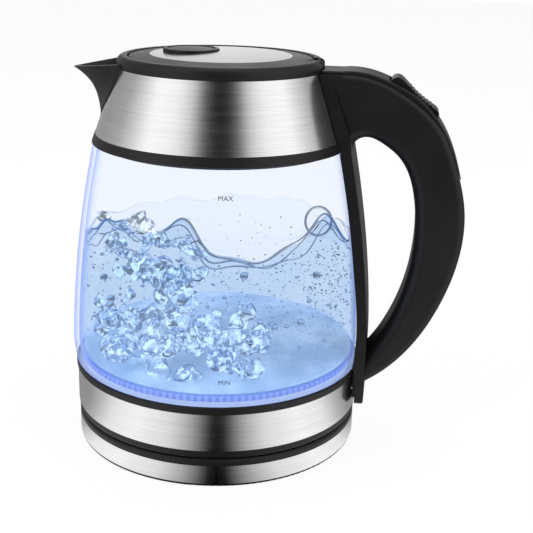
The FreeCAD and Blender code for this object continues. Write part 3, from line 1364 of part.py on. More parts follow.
def handle_spine():
    outer, under = spine_curve(), frame_curve()
    tail_u = under.parameter(outer.EndPoint)
    tail = under.value(tail_u)
    lift = V(SEAM_GAP, 0, SEAM_GAP)
    lower = under.toShape(under.FirstParameter, tail_u)
    lower.translate(lift)
    edges = [outer.toShape(), Part.makeLine(outer.EndPoint, tail + lift), lower,
             Part.makeLine(under.StartPoint + lift, outer.StartPoint)]
    body = prism(Part.Wire(Part.__sortEdges__(edges)), SPINE_W)
    tip = outer.EndPoint
    top = [e for e in body.Edges if e.BoundBox.YLength < 0.01 and e.Length > SPINE_W
           and e.valueAt(e.LastParameter).distanceToPoint(V(tip.x, e.BoundBox.YMin, tip.z)) < 0.01]
    body = body.makeFillet(SPINE_EDGE_R, top)
    near, far = SWITCH_W / 2 + SWITCH_SIDE_GAP, switch_pin_l / 2
    half, low_z, high_z = PIN_BOSS_L / 2, -SWITCH_PIN_DEEP - PIN_BOSS_DEEP, -SWITCH_PIN_R / 2
    bosses = [tilt_to_switch(block((-half, near, low_z), (half, far, high_z))),
              tilt_to_switch(block((-half, -far, low_z), (half, -near, high_z)))]
    body = joined([body.cut(switch_slot())] + bosses)
    return body.cut(switch_axle(SWITCH_PIN_R, switch_pin_l))


def switch_rocker():
    half, rib_l = SWITCH_L / 2, SWITCH_W - 2 * SWITCH_RIB_IN
    lip_x, front, back = ROCKER_LIP_L - half, (-half, -ROCKER_END_DROP), (half, -ROCKER_END_DROP)
    top = spline([front, (lip_x - ROCKER_LIP_L * 0.6, ROCKER_LIP_H), (lip_x, ROCKER_LIP_H),
                  (0, ROCKER_SADDLE_H), (half - ROCKER_TAIL_L, ROCKER_SADDLE_H),
                  (half - ROCKER_END_L, ROCKER_SADDLE_H / 2), back])
    edges = [top.toShape()] + polyline([back, (half, -SWITCH_DEEP), (-half, -SWITCH_DEEP), front])
    body = prism(Part.Wire(edges), SWITCH_W)
    ribs = []
    for i in range(SWITCH_RIBS):
        x = (i - (SWITCH_RIBS - 1) / 2) * SWITCH_RIB_PITCH + ROCKER_RIB_OFF
        z = top.value(top.parameter(V(x, 0, ROCKER_SADDLE_H))).z
        ribs.append(rod(V(x, -rib_l / 2, z), NORTH, SWITCH_RIB_R, rib_l))
    body = joined([body] + ribs)
    in_l, in_w = half - ROCKER_WALL, SWITCH_W / 2 - ROCKER_WALL
    roof = -SWITCH_PIN_DEEP - SWITCH_PIN_R - ROCKER_PIN_ROOM
    body = body.cut(block((-in_l, -in_w, -SWITCH_DEEP - CUT_OVER), (in_l, in_w, roof)))
    return tilt_to_switch(body).cut(switch_axle(SWITCH_PIN_R + PIN_GAP, SPINE_W))


def switch_pin():
    return switch_axle(SWITCH_PIN_R, switch_pin_l)


def switch_body():
    low = -SWITCH_BODY_DEEP - SWITCH_BODY_H
    half_l, half_w = SWITCH_BODY_L / 2, SWITCH_BODY_W / 2
    case = block((-half_l, -half_w, low), (half_l, half_w, -SWITCH_BODY_DEEP))
    case = case.makeFillet(SWITCH_BODY_R, case.Edges)
    foot_l, side = half_l + SWITCH_FOOT_L, SPINE_W / 2 - SPINE_SIDE
    feet = block((-foot_l, -side, low - ROCKER_WALL), (foot_l, side, low + SWITCH_FOOT_T))
    return tilt_to_switch(joined([case, feet]))


def steam_duct():
    start = frame_top_r - COLLAR_T - BAND_T
    tube = rod(V(start, 0, duct_z), EAST, DUCT_R, duct_x + DUCT_L - start)
    return tube.cut(duct_tool(DUCT_R - DUCT_WALL))


def steam_disc():
    return rod(V(duct_x + DUCT_L + STEAM_DISC_IN, 0, duct_z), EAST, STEAM_DISC_R, STEAM_DISC_T)


def handle_leads():
    """Two leads from the thermostat, out through the band, up the strap and over to the switch."""
    mid = STRAP_GAP + CHANNEL_T - LEAD_R - LEAD_CLEAR
    start_z, rise_x = socket_top + 2 * LEAD_BEND * LEAD_R, JUG_R + mid
    path = [(THERMOSTAT_L / 2, start_z), (THERMOSTAT_L / 2 + 2 * LEAD_BEND, start_z),
            (housing_in_r - 2 * LEAD_BEND, lead_exit_z), (rise_x, lead_exit_z), (rise_x, glass_z)]
    rise = spline(glass_points(mid))
    first, last = rise.FirstParameter, rise.LastParameter
    for i in range(LEAD_STEPS):
        place = rise.value(first + (last - first) * (i + 1) / LEAD_STEPS)
        path.append((place.x, place.z))
    tubes = []
    for side in (-1, 1):
        tubes.append(lead_tube([V(x, side * LEAD_SPREAD, z) for x, z in path]))
    return Part.makeCompound(tubes)


PIECES = (
    base_floor, base_feet, base_screws, base_band, base_deck, cord_gland, base_connector,
    connector_contacts, jug_socket, socket_contacts, jug_foot, foot_screws, jug_band, heater_housing,
    led_board, leds, lower_seal, light_ring, heating_plate, heat_spreader, heating_element, thermostat,
    glass_body, upper_seal, collar_trim, collar_frame, collar_band, spout_filter, top_ring, hinge_pin,
    lid_spring, lid_cap, lid_plate, button_bezel, lid_button, button_spring, lid_base, lid_screws, lid_seal,
    latch_bolt, latch_spring, handle_frame, hinge_cover, handle_spine, switch_rocker, switch_pin,
    switch_body, steam_duct, steam_disc, handle_leads, handle_screws,
)


def main():
    os.makedirs("parts", exist_ok=True)
    for piece in PIECES:
        shape = piece()
        count = len(shape.Solids)
        print(f"{piece.__name__}: {count} solids, {shape.Volume:.0f} mm3, valid {shape.isValid()}")
        shape.exportStep(f"parts/{piece.__name__}.step")


if __name__ == "__main__":
    main()
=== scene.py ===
"""Looks of a glass electric kettle full of boiling water, on its power base."""

import logging
import math
import random
from dataclasses import dataclass
from enum import Enum
from typing import Callable, Sequence, Union

import bpy
from mathutils import Matrix, Vector, noise


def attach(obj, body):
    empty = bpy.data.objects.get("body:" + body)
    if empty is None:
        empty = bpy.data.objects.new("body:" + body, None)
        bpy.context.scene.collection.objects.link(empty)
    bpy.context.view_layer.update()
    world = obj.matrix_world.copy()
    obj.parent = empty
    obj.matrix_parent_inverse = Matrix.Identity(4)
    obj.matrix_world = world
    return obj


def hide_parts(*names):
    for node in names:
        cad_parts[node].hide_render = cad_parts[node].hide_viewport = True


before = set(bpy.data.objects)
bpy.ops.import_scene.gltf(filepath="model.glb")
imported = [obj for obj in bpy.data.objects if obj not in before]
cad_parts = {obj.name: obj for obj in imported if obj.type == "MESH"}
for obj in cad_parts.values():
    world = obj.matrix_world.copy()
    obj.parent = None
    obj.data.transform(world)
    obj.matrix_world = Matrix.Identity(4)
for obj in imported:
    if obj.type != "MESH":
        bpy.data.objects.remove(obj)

LOG = logging.getLogger("kettle")
MM = 0.001
MERGE_MM = 0.002
ALL_SMOOTH = 180.0
SURFACE_NAME = "surface"

Point = tuple[float, float]
Colour = tuple[float, float, float, float]
Reach = Callable[[float], float]
Ceiling = Callable[[float, float], float]


class Body(Enum):
    """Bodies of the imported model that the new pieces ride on."""

    JUG = "jug"


class Slot(Enum):
    """Material slots of the record."""

    GLASS = "glass"


class Brushing(Enum):
    """Ways in which sheet steel is brushed."""

    ROUND_AXIS = "lines run round the jug"
    ROUND_CENTRE = "rings about the middle of the lid"


class Signal:
    """Output of a shader node that takes part in Python arithmetic."""

    def __init__(self, graph: "Graph", socket: bpy.types.NodeSocket) -> None:
        """Keep the socket and the graph that it belongs to."""
        self.graph = graph
        self.socket = socket

    def _math(self, operation: str, first: "Value", second: "Value") -> "Signal":
        """Add a Math node.

        Args:
            operation: Name of the Math node's operation.
            first: Left operand.
            second: Right operand.

        Returns:
            The node's output.
        """
        return self.graph.add("ShaderNodeMath", {"operation": operation}, {0: first, 1: second})[0]

    def __add__(self, other: "Value") -> "Signal":
        """Sum."""
        return self._math("ADD", self, other)

    def __radd__(self, other: "Value") -> "Signal":
        """Sum with a number on the left."""
        return self._math("ADD", other, self)

    def __sub__(self, other: "Value") -> "Signal":
        """Difference."""
        return self._math("SUBTRACT", self, other)

    def __rsub__(self, other: "Value") -> "Signal":
        """Difference with a number on the left."""
        return self._math("SUBTRACT", other, self)

    def __mul__(self, other: "Value") -> "Signal":
        """Product."""
        return self._math("MULTIPLY", self, other)

    def __rmul__(self, other: "Value") -> "Signal":
        """Product with a number on the left."""
        return self._math("MULTIPLY", other, self)

    def __truediv__(self, other: "Value") -> "Signal":
        """Quotient."""
        return self._math("DIVIDE", self, other)

    def __rtruediv__(self, other: "Value") -> "Signal":
        """Quotient with a number on the left."""
        return self._math("DIVIDE", other, self)

    def __pow__(self, other: "Value") -> "Signal":
        """Power."""
        return self._math("POWER", self, other)

    def __rpow__(self, other: "Value") -> "Signal":
        """Power with a number on the left."""
        return self._math("POWER", other, self)


Value = Union[Signal, float, Sequence[float]]


class Step:
    """A node in a graph, whose outputs are read by name or number."""

    def __init__(self, graph: "Graph", node: bpy.types.Node) -> None:
        """Keep the node and the graph that it belongs to."""
        self.graph = graph
        self.node = node

    def __getitem__(self, key: Union[int, str]) -> Signal:
        """One output of the node."""
        return Signal(self.graph, self.node.outputs[key])


class Graph:
    """Node tree of a material or of the world."""

    def __init__(self, owner: Union[bpy.types.Material, bpy.types.World]) -> None:
        """Empty the owner's node tree.

        Args:
            owner: Material or world that the tree belongs to.
        """
        owner.use_nodes = True
        self.owner = owner
        self.tree = owner.node_tree
        self.tree.nodes.clear()

    @classmethod
    def material(cls, name: str) -> "Graph":
        """Graph of a new material."""
        return cls(bpy.data.materials.new(name))

    def add(self, kind: str, settings: dict | None = None, inputs: dict | None = None) -> Step:
        """Add a node.

        Args:
            kind: Type of the node.
            settings: Values set on the node itself, before its sockets. "stops" holds a ramp's stops.
            inputs: Values or links of its sockets, by name or number.

        Returns:
            The node.
        """
        node = self.tree.nodes.new(kind)
        for key, value in (settings or {}).items():
            if key == "stops":
                self._set_stops(node.color_ramp, value)
            else:
                setattr(node, key, value)
        for key, value in (inputs or {}).items():
            if isinstance(value, Signal):
                self.tree.links.new(value.socket, node.inputs[key])
            else:
                node.inputs[key].default_value = value
        return Step(self, node)

    @staticmethod
    def _set_stops(ramp: bpy.types.ColorRamp, stops: Sequence[tuple[float, Colour]]) -> None:
        """Give a ramp its stops.

        Args:
            ramp: Colour ramp of a node.
            stops: Position and colour of each stop, two or more.
        """
        while len(ramp.elements) < len(stops):
            ramp.elements.new(1.0)
        for element, (position, colour) in zip(ramp.elements, stops):
            element.position = position
            element.color = colour

    def place(self) -> Signal:
        """Object coordinates."""
        return self.add("ShaderNodeTexCoord")["Object"]

    def parts(self, vector: Signal) -> tuple[Signal, Signal, Signal]:
        """The three numbers of a vector."""
        step = self.add("ShaderNodeSeparateXYZ", None, {0: vector})
        return step[0], step[1], step[2]

    def joined(self, x: Value, y: Value, z: Value) -> Signal:
        """A vector from three numbers."""
        return self.add("ShaderNodeCombineXYZ", None, {0: x, 1: y, 2: z})[0]

    def call(self, operation: str, first: Value, second: Value = 0.0) -> Signal:
        """Result of a Math node that has no operator."""
        return self.add("ShaderNodeMath", {"operation": operation}, {0: first, 1: second})[0]

    def noise(self, vector: Signal, size_mm: float, detail: float = 2.0) -> Signal:
        """Cloudy pattern from 0 to 1 with features of a size."""
        inputs = {"Vector": vector, "Scale": 1.0 / (size_mm * MM), "Detail": detail, "Roughness": 0.55}
        return self.add("ShaderNodeTexNoise", None, inputs)["Fac"]

    def between(self, factor: Value, low: Value, high: Value) -> Signal:
        """Colour between two colours."""
        return self.add("ShaderNodeMix", {"data_type": "RGBA"}, {0: factor, 6: low, 7: high})[2]

    def ramp(self, value: Signal, stops: Sequence[tuple[float, Colour]]) -> Signal:
        """Colour from a ramp."""
        return self.add("ShaderNodeValToRGB", {"stops": stops}, {0: value})["Color"]

    def spread(self, value: Signal, low: float, high: float, to: Point = (0.0, 1.0)) -> Signal:
        """Value moved from one range to another, smooth and kept within it.

        Args:
            value: Value to move.
            low: Value that gives the first end of the new range.
            high: Value that gives its second end.
            to: Ends of the new range.

        Returns:
            The moved value.
        """
        settings = {"interpolation_type": "SMOOTHSTEP", "clamp": True}
        inputs = {0: value, 1: low, 2: high, 3: to[0], 4: to[1]}
        return self.add("ShaderNodeMapRange", settings, inputs)[0]

    def around(self, value: Signal, low: float, high: float, middle: float, vary: Point) -> Signal:
        """Value moved to a range about a middle.

        Args:
            value: Value to move.
            low: Value that gives the lower end.
            high: Value that gives the upper end.
            middle: Middle of the new range.
            vary: How far the range goes below and above it.

        Returns:
            The moved value.
        """
        return self.spread(value, low, high, (middle - vary[0], middle + vary[1]))

    def facing(self) -> Signal:
        """How far the surface turns away from the view, from 0 to 1."""
        return self.add("ShaderNodeLayerWeight", None, {"Blend": 0.5})["Facing"]

    def clear(self, tint: Colour) -> Signal:
        """Shader that lets light through with a tint."""
        return self.add("ShaderNodeBsdfTransparent", None, {"Color": tint})[0]

    def radius(self, x: Signal, y: Signal) -> Signal:
        """Distance from the jug's axis."""
        return self.call("SQRT", x * x + y * y)

    def seen(self) -> Signal:
        """Which rays look at a surface and which only gather light.

        Returns:
            One for the camera's, a mirror's or a glass's look, and zero for gathered light.
        """
        path = self.add("ShaderNodeLightPath")
        looks = path["Is Camera Ray"] + path["Is Glossy Ray"] + path["Is Transmission Ray"]
        return self.call("MINIMUM", looks, 1.0)

    def bump(self, height: Signal, depth_mm: float, strength: float = 1.0) -> Signal:
        """Normal that a height pattern gives."""
        inputs = {"Strength": strength, "Distance": depth_mm * MM, "Height": height}
        return self.add("ShaderNodeBump", None, inputs)["Normal"]

    def principled(self, **sockets: Value) -> Signal:
        """Principled shader with sockets named in words joined by underscores."""
        inputs = {key.replace("_", " "): value for key, value in sockets.items()}
        return self.add("ShaderNodeBsdfPrincipled", None, inputs)["BSDF"]

    def mixed(self, factor: Value, first: Signal, second: Signal) -> Signal:
        """Two shaders mixed."""
        return self.add("ShaderNodeMixShader", None, {0: factor, 1: first, 2: second})[0]

    def finish(self, shader: Signal) -> bpy.types.Material:
        """Send a shader to the output and give back the material."""
        self.add("ShaderNodeOutputMaterial", None, {"Surface": shader})
        return self.owner


def grey(level: float) -> Colour:
    """Neutral colour of a level."""
    return (level, level, level, 1.0)


def tinted(colour: Colour, factor: float) -> Colour:
    """Colour made darker or lighter."""
    return (colour[0] * factor, colour[1] * factor, colour[2] * factor, 1.0)


@dataclass(frozen=True)
class MouldedPlastic:
    """Injection moulded plastic with a fine spark-eroded texture."""

    name: str
    colour: Colour
    roughness: float = 0.4
    specular: float = 0.25
    grain_mm: float = 0.4
    grain_depth_mm: float = 0.02
    cloud_mm: float = 22.0
    vary: Point = (0.06, 0.06)

    def make(self) -> bpy.types.Material:
        """Build the material.

        Returns:
            The material.
        """
        graph = Graph.material(self.name)
        place = graph.place()
        cloud = graph.noise(place, self.cloud_mm, 3.0)
        grain = graph.noise(place, self.grain_mm, 1.0)
        colour = graph.between(cloud, tinted(self.colour, 0.8), tinted(self.colour, 1.25))
        roughness = graph.around(cloud * 0.7 + grain * 0.3, 0.25, 0.75, self.roughness, self.vary)
        shader = graph.principled(
            Base_Color=colour, Roughness=roughness, Specular_IOR_Level=self.specular,
            Normal=graph.bump(grain, self.grain_depth_mm, 0.5))
        return graph.finish(shader)


@dataclass(frozen=True)
class BrushedSteel:
    """Sheet steel with fine brushing."""

    name: str
    brushing: Brushing
    colour: Colour = (0.76, 0.76, 0.77, 1.0)
    roughness: float = 0.2
    line_mm: float = 0.4
    line_run: float = 0.0008
    broad_run: float = 0.002
    vary: Point = (0.02, 0.03)

    def make(self) -> bpy.types.Material:
        """Build the material.

        Returns:
            The material.
        """
        graph = Graph.material(self.name)
        x, y, z = graph.parts(graph.place())
        turn = graph.call("ARCTAN2", y, x)
        across = z if self.brushing is Brushing.ROUND_AXIS else graph.radius(x, y)
        lines = graph.noise(graph.joined(turn * self.line_run, 0.0, across), self.line_mm, 3.0)
        broad = graph.noise(graph.joined(turn * self.broad_run, 0.0, across), self.line_mm * 5.0, 2.0)
        streak = lines * 0.6 + broad * 0.4
        shine = graph.spread(streak, 0.3, 0.7)
        colour = graph.between(shine, tinted(self.colour, 0.9), tinted(self.colour, 1.06))
        roughness = graph.around(streak, 0.3, 0.7, self.roughness, self.vary)
        shader = graph.principled(
            Base_Color=colour, Metallic=1.0, Roughness=roughness, Normal=graph.bump(streak, 0.01, 0.1))
        return graph.finish(shader)


@dataclass(frozen=True)
class PlainMetal:
    """Turned, cast or plated metal of the small parts."""

    name: str
    colour: Colour
    roughness: float = 0.35
    cloud_mm: float = 3.0
    vary: Point = (0.08, 0.1)

    def make(self) -> bpy.types.Material:
        """Build the material.

        Returns:
            The material.
        """
        graph = Graph.material(self.name)
        cloud = graph.noise(graph.place(), self.cloud_mm, 4.0)
        colour = graph.between(cloud, tinted(self.colour, 0.85), tinted(self.colour, 1.1))
        roughness = graph.around(cloud, 0.3, 0.7, self.roughness, self.vary)
        shader = graph.principled(
            Base_Color=colour, Metallic=1.0, Roughness=roughness, Normal=graph.bump(cloud, 0.03, 0.3))
        return graph.finish(shader)


@dataclass(frozen=True)
class SoftRubber:
    """Rubber or silicone with a dusty surface."""

    name: str
    colour: Colour
    roughness: float = 0.7
    specular: float = 0.3
    dust_mm: float = 5.0
    grain_mm: float = 0.25
    vary: Point = (0.1, 0.1)

    def make(self) -> bpy.types.Material:
        """Build the material.

        Returns:
            The material.
        """
        graph = Graph.material(self.name)
        place = graph.place()
        dust = graph.noise(place, self.dust_mm, 5.0)
        grain = graph.noise(place, self.grain_mm, 2.0)
        colour = graph.between(dust, tinted(self.colour, 0.8), tinted(self.colour, 1.2))
        roughness = graph.around(dust, 0.3, 0.7, self.roughness, self.vary)
        shader = graph.principled(
            Base_Color=colour, Roughness=roughness, Specular_IOR_Level=self.specular,
            Normal=graph.bump(grain, 0.02, 0.4))
        return graph.finish(shader)


@dataclass(frozen=True)
class CircuitBoard:
    """Lacquered board with faint copper tracks."""

    name: str
    colour: Colour = (0.03, 0.16, 0.07, 1.0)
    track_mm: float = 0.6

    def make(self) -> bpy.types.Material:
        """Build the material.

        Returns:
            The material.
        """
        graph = Graph.material(self.name)
        x, y, _ = graph.parts(graph.place())
        wave = graph.call("SINE", graph.radius(x, y) / (self.track_mm * MM))
        track = graph.spread(wave, 0.2, 0.6)
        colour = graph.between(track, self.colour, tinted(self.colour, 1.8))
        shader = graph.principled(Base_Color=colour, Roughness=0.3, Normal=graph.bump(track, 0.03, 0.5))
        return graph.finish(shader)


@dataclass(frozen=True)
class LitGuide:
    """Ribbed light guide, brighter over each lamp and along both its edges."""

    name: str
    lamps: int = 130
    low_z: float = 0.0436
    high_z: float = 0.0485
    wall_r: float = 0.0731
    top: Colour = (0.40, 0.50, 0.70, 1.0)
    dim: Colour = (0.035, 0.09, 0.44, 1.0)
    bright: Colour = (0.19, 0.32, 0.90, 1.0)
    strength: float = 0.45
    wall_skin: float = 0.0008
    frost_mm: float = 1.4

    def make(self) -> bpy.types.Material:
        """Build the material.

        Returns:
            The material.
        """
        graph = Graph.material(self.name)
        place = graph.place()
        x, y, z = graph.parts(place)
        turn = graph.call("ARCTAN2", y, x) * (self.lamps / math.tau)
        near = graph.call("ABSOLUTE", graph.call("FRACT", turn + 2.0 * self.lamps) - 0.5)
        spot = graph.spread(near, 0.4, 0.1)
        middle, half = (self.low_z + self.high_z) / 2, (self.high_z - self.low_z) / 2
        edge = graph.spread(graph.call("ABSOLUTE", z - middle), half * 0.55, half * 0.95)
        frost = graph.noise(place, self.frost_mm, 3.0)
        outer = graph.spread(graph.radius(x, y), self.wall_r - self.wall_skin, self.wall_r)
        glow = graph.call("MINIMUM", spot * 0.5 + edge * 0.4 + frost * 0.2, 1.0)
        light = graph.between(outer, self.top, graph.between(glow, self.dim, self.bright))
        shader = graph.principled(
            Base_Color=light, Roughness=0.35 + frost * 0.2,
            Emission_Color=light, Emission_Strength=self.strength)
        return graph.finish(shader)


@dataclass(frozen=True)
class JarGlass:
    """Clear borosilicate, bluer towards its edges and its foot, where it has a painted blue glow of its own.
    """

    name: str
    tint: Colour = (0.972, 0.981, 0.998, 1.0)
    edge: Colour = (0.16, 0.28, 0.86, 1.0)
    body: Colour = (0.62, 0.74, 1.0, 1.0)
    clear: float = 0.02
    rim: float = 0.6
    glow: float = 0.45
    foot_z: Point = (0.062, 0.043)
    foot_painted_glow: float = 0.06
    ripple_mm: float = 30.0

    def make(self) -> bpy.types.Material:
        """Build the material.

        Returns:
            The material.
        """
        graph = Graph.material(self.name)
        facing = graph.facing()
        place = graph.place()
        _, _, z = graph.parts(place)
        low = graph.spread(z, *self.foot_z)
        rim = graph.spread(facing, 0.6, 1.0)
        ripple = graph.noise(place, self.ripple_mm, 2.0)
        colour = graph.between(rim, self.body, self.edge)
        # Painted glow: the blue skin emits light, though glass is no lamp. At the edges it is partly the
        # glass's real tint and partly painted glow.
        shader = graph.principled(
            Base_Color=colour, Roughness=0.03 + ripple * 0.03,
            Emission_Color=colour, Emission_Strength=self.glow, Normal=graph.bump(ripple, 0.05, 0.2))
        # More cover at the edges and near the foot. The foot's share is painted light standing in for the lit
        # ring below.
        cover = graph.call("MINIMUM", self.clear + rim * self.rim + low * self.foot_painted_glow, 1.0)
        return graph.finish(graph.mixed(cover, graph.clear(self.tint), shader))


@dataclass(frozen=True)
class ClearWater:
    """Water that swallows red light, more so in its eddies and along its edges."""

    name: str
    pale: Colour = (0.975, 0.988, 1.0, 1.0)
    deep: Colour = (0.55, 0.71, 0.88, 1.0)
    rim_colour: Colour = (0.10, 0.22, 0.46, 1.0)
    swirl_mm: float = 26.0
    front_y: Point = (0.02, -0.02)
    low_z: Point = (0.112, 0.065)
    back_share: float = 0.2
    surface_depth: float = 0.06
    rim_share: float = 0.5

    def make(self) -> bpy.types.Material:
        """Build the material.

        Returns:
            The material.
        """
        graph = Graph.material(self.name)
        facing = graph.facing()
        place = graph.place()
        _, y, z = graph.parts(place)
        swirl = graph.noise(place, self.swirl_mm, 4.0)
        front = graph.spread(y, *self.front_y)
        low = graph.spread(z, *self.low_z)
        surface = graph.add("ShaderNodeAttribute", {"attribute_name": SURFACE_NAME})["Fac"]
        wall = (1.0 - surface) * graph.call("MAXIMUM", front, low * self.back_share)
        depth = graph.call("MINIMUM", wall * (0.4 + swirl * 0.8) + surface * self.surface_depth, 1.0)
        seen = graph.mixed(depth, graph.clear(self.pale), graph.clear(self.deep))
        rim = graph.spread(facing, 0.72, 1.0) * (1.0 - surface) * self.rim_share
        skin = graph.principled(
            Base_Color=graph.between(swirl, self.rim_colour, tinted(self.rim_colour, 2.0)), Roughness=0.05,
            Normal=graph.bump(swirl, 0.4, 0.3))
        return graph.finish(graph.mixed(rim, seen, skin))


@dataclass(frozen=True)
class BubbleSkin:
    """Thin refracting skin of bubbles and splashes, with a painted dark rim at its outline and glowing white
    patches of froth and painted highlight.
    """

    name: str
    outline: Colour
    start: float
    strength: float
    foam_and_highlight: float = 0.0
    colour: Colour = (0.88, 0.94, 1.0, 1.0)
    index: float = 1.25
    ripple_mm: float = 6.0
    foam_and_highlight_mm: float = 4.0
    painted_rim_glow: float = 0.5
    painted_highlight_glow: float = 0.8

    def make(self) -> bpy.types.Material:
        """Build the material.

        Returns:
            The material.
        """
        graph = Graph.material(self.name)
        ripple = graph.noise(graph.place(), self.ripple_mm, 2.0)
        colour = graph.between(ripple, tinted(self.colour, 0.9), self.colour)
        normal = graph.bump(ripple, 0.2, 0.2)
        clear = graph.principled(
            Base_Color=colour, Roughness=0.0, IOR=self.index, Transmission_Weight=1.0, Normal=normal)
        # Painted dark rim: a dark blue skin that glows a little, laid towards the outline in place of the
        # shade that refraction gives.
        deep = graph.between(ripple, self.outline, tinted(self.outline, 1.8))
        dark = graph.principled(
            Base_Color=deep, Roughness=0.2, Specular_IOR_Level=0.15,
            Emission_Color=deep, Emission_Strength=self.painted_rim_glow, Normal=normal)
        facing = graph.add("ShaderNodeLayerWeight", None, {"Blend": 0.5, "Normal": normal})["Facing"]
        edge = graph.spread(facing, self.start, 0.98) * self.strength
        # Painted highlight: white patches that glow on their own, partly froth and partly highlight.
        white = graph.principled(
            Base_Color=colour, Roughness=0.1,
            Emission_Color=colour, Emission_Strength=self.painted_highlight_glow, Normal=normal)
        patch = graph.spread(graph.noise(graph.place(), self.foam_and_highlight_mm, 3.0), 0.5, 0.62) * self.foam_and_highlight
        return graph.finish(graph.mixed(patch, graph.mixed(edge, clear, dark), white))


@dataclass(frozen=True)
class BubbleMist:
    """Cloud of bubbles too small to see one by one, thin towards its outline, with a painted glow of its own
    colour.
    """

    name: str
    shade: Colour = (0.44, 0.55, 0.69, 1.0)
    light: Colour = (0.66, 0.75, 0.86, 1.0)
    cover: float = 0.85
    cloud_mm: float = 22.0
    glow: float = 0.45

    def make(self) -> bpy.types.Material:
        """Build the material.

        Returns:
            The material.
        """
        graph = Graph.material(self.name)
        place = graph.place()
        facing = graph.facing()
        cloud = graph.noise(place, self.cloud_mm, 5.0)
        colour = graph.between(graph.spread(cloud, 0.35, 0.65), self.shade, self.light)
        # Painted glow: the mist emits light of its own colour, though it is no lamp.
        mist = graph.principled(
            Base_Color=colour, Roughness=0.6 + cloud * 0.2,
            Emission_Color=colour, Emission_Strength=self.glow)
        cover = graph.spread(facing, 0.98, 0.6) * (0.75 + cloud * 0.3) * self.cover
        return graph.finish(graph.mixed(graph.call("MINIMUM", cover, 1.0), graph.clear(grey(1.0)), mist))


@dataclass(frozen=True)
class PrintedMark:
    """Screen-printed ink on the glass."""

    name: str
    colour: Colour = (0.03, 0.035, 0.05, 1.0)
    screen_mm: float = 0.3

    def make(self) -> bpy.types.Material:
        """Build the material.

        Returns:
            The material.
        """
        graph = Graph.material(self.name)
        mesh = graph.noise(graph.place(), self.screen_mm, 2.0)
        colour = graph.between(mesh, self.colour, tinted(self.colour, 1.6))
        return graph.finish(graph.principled(Base_Color=colour, Roughness=0.5 + mesh * 0.1))


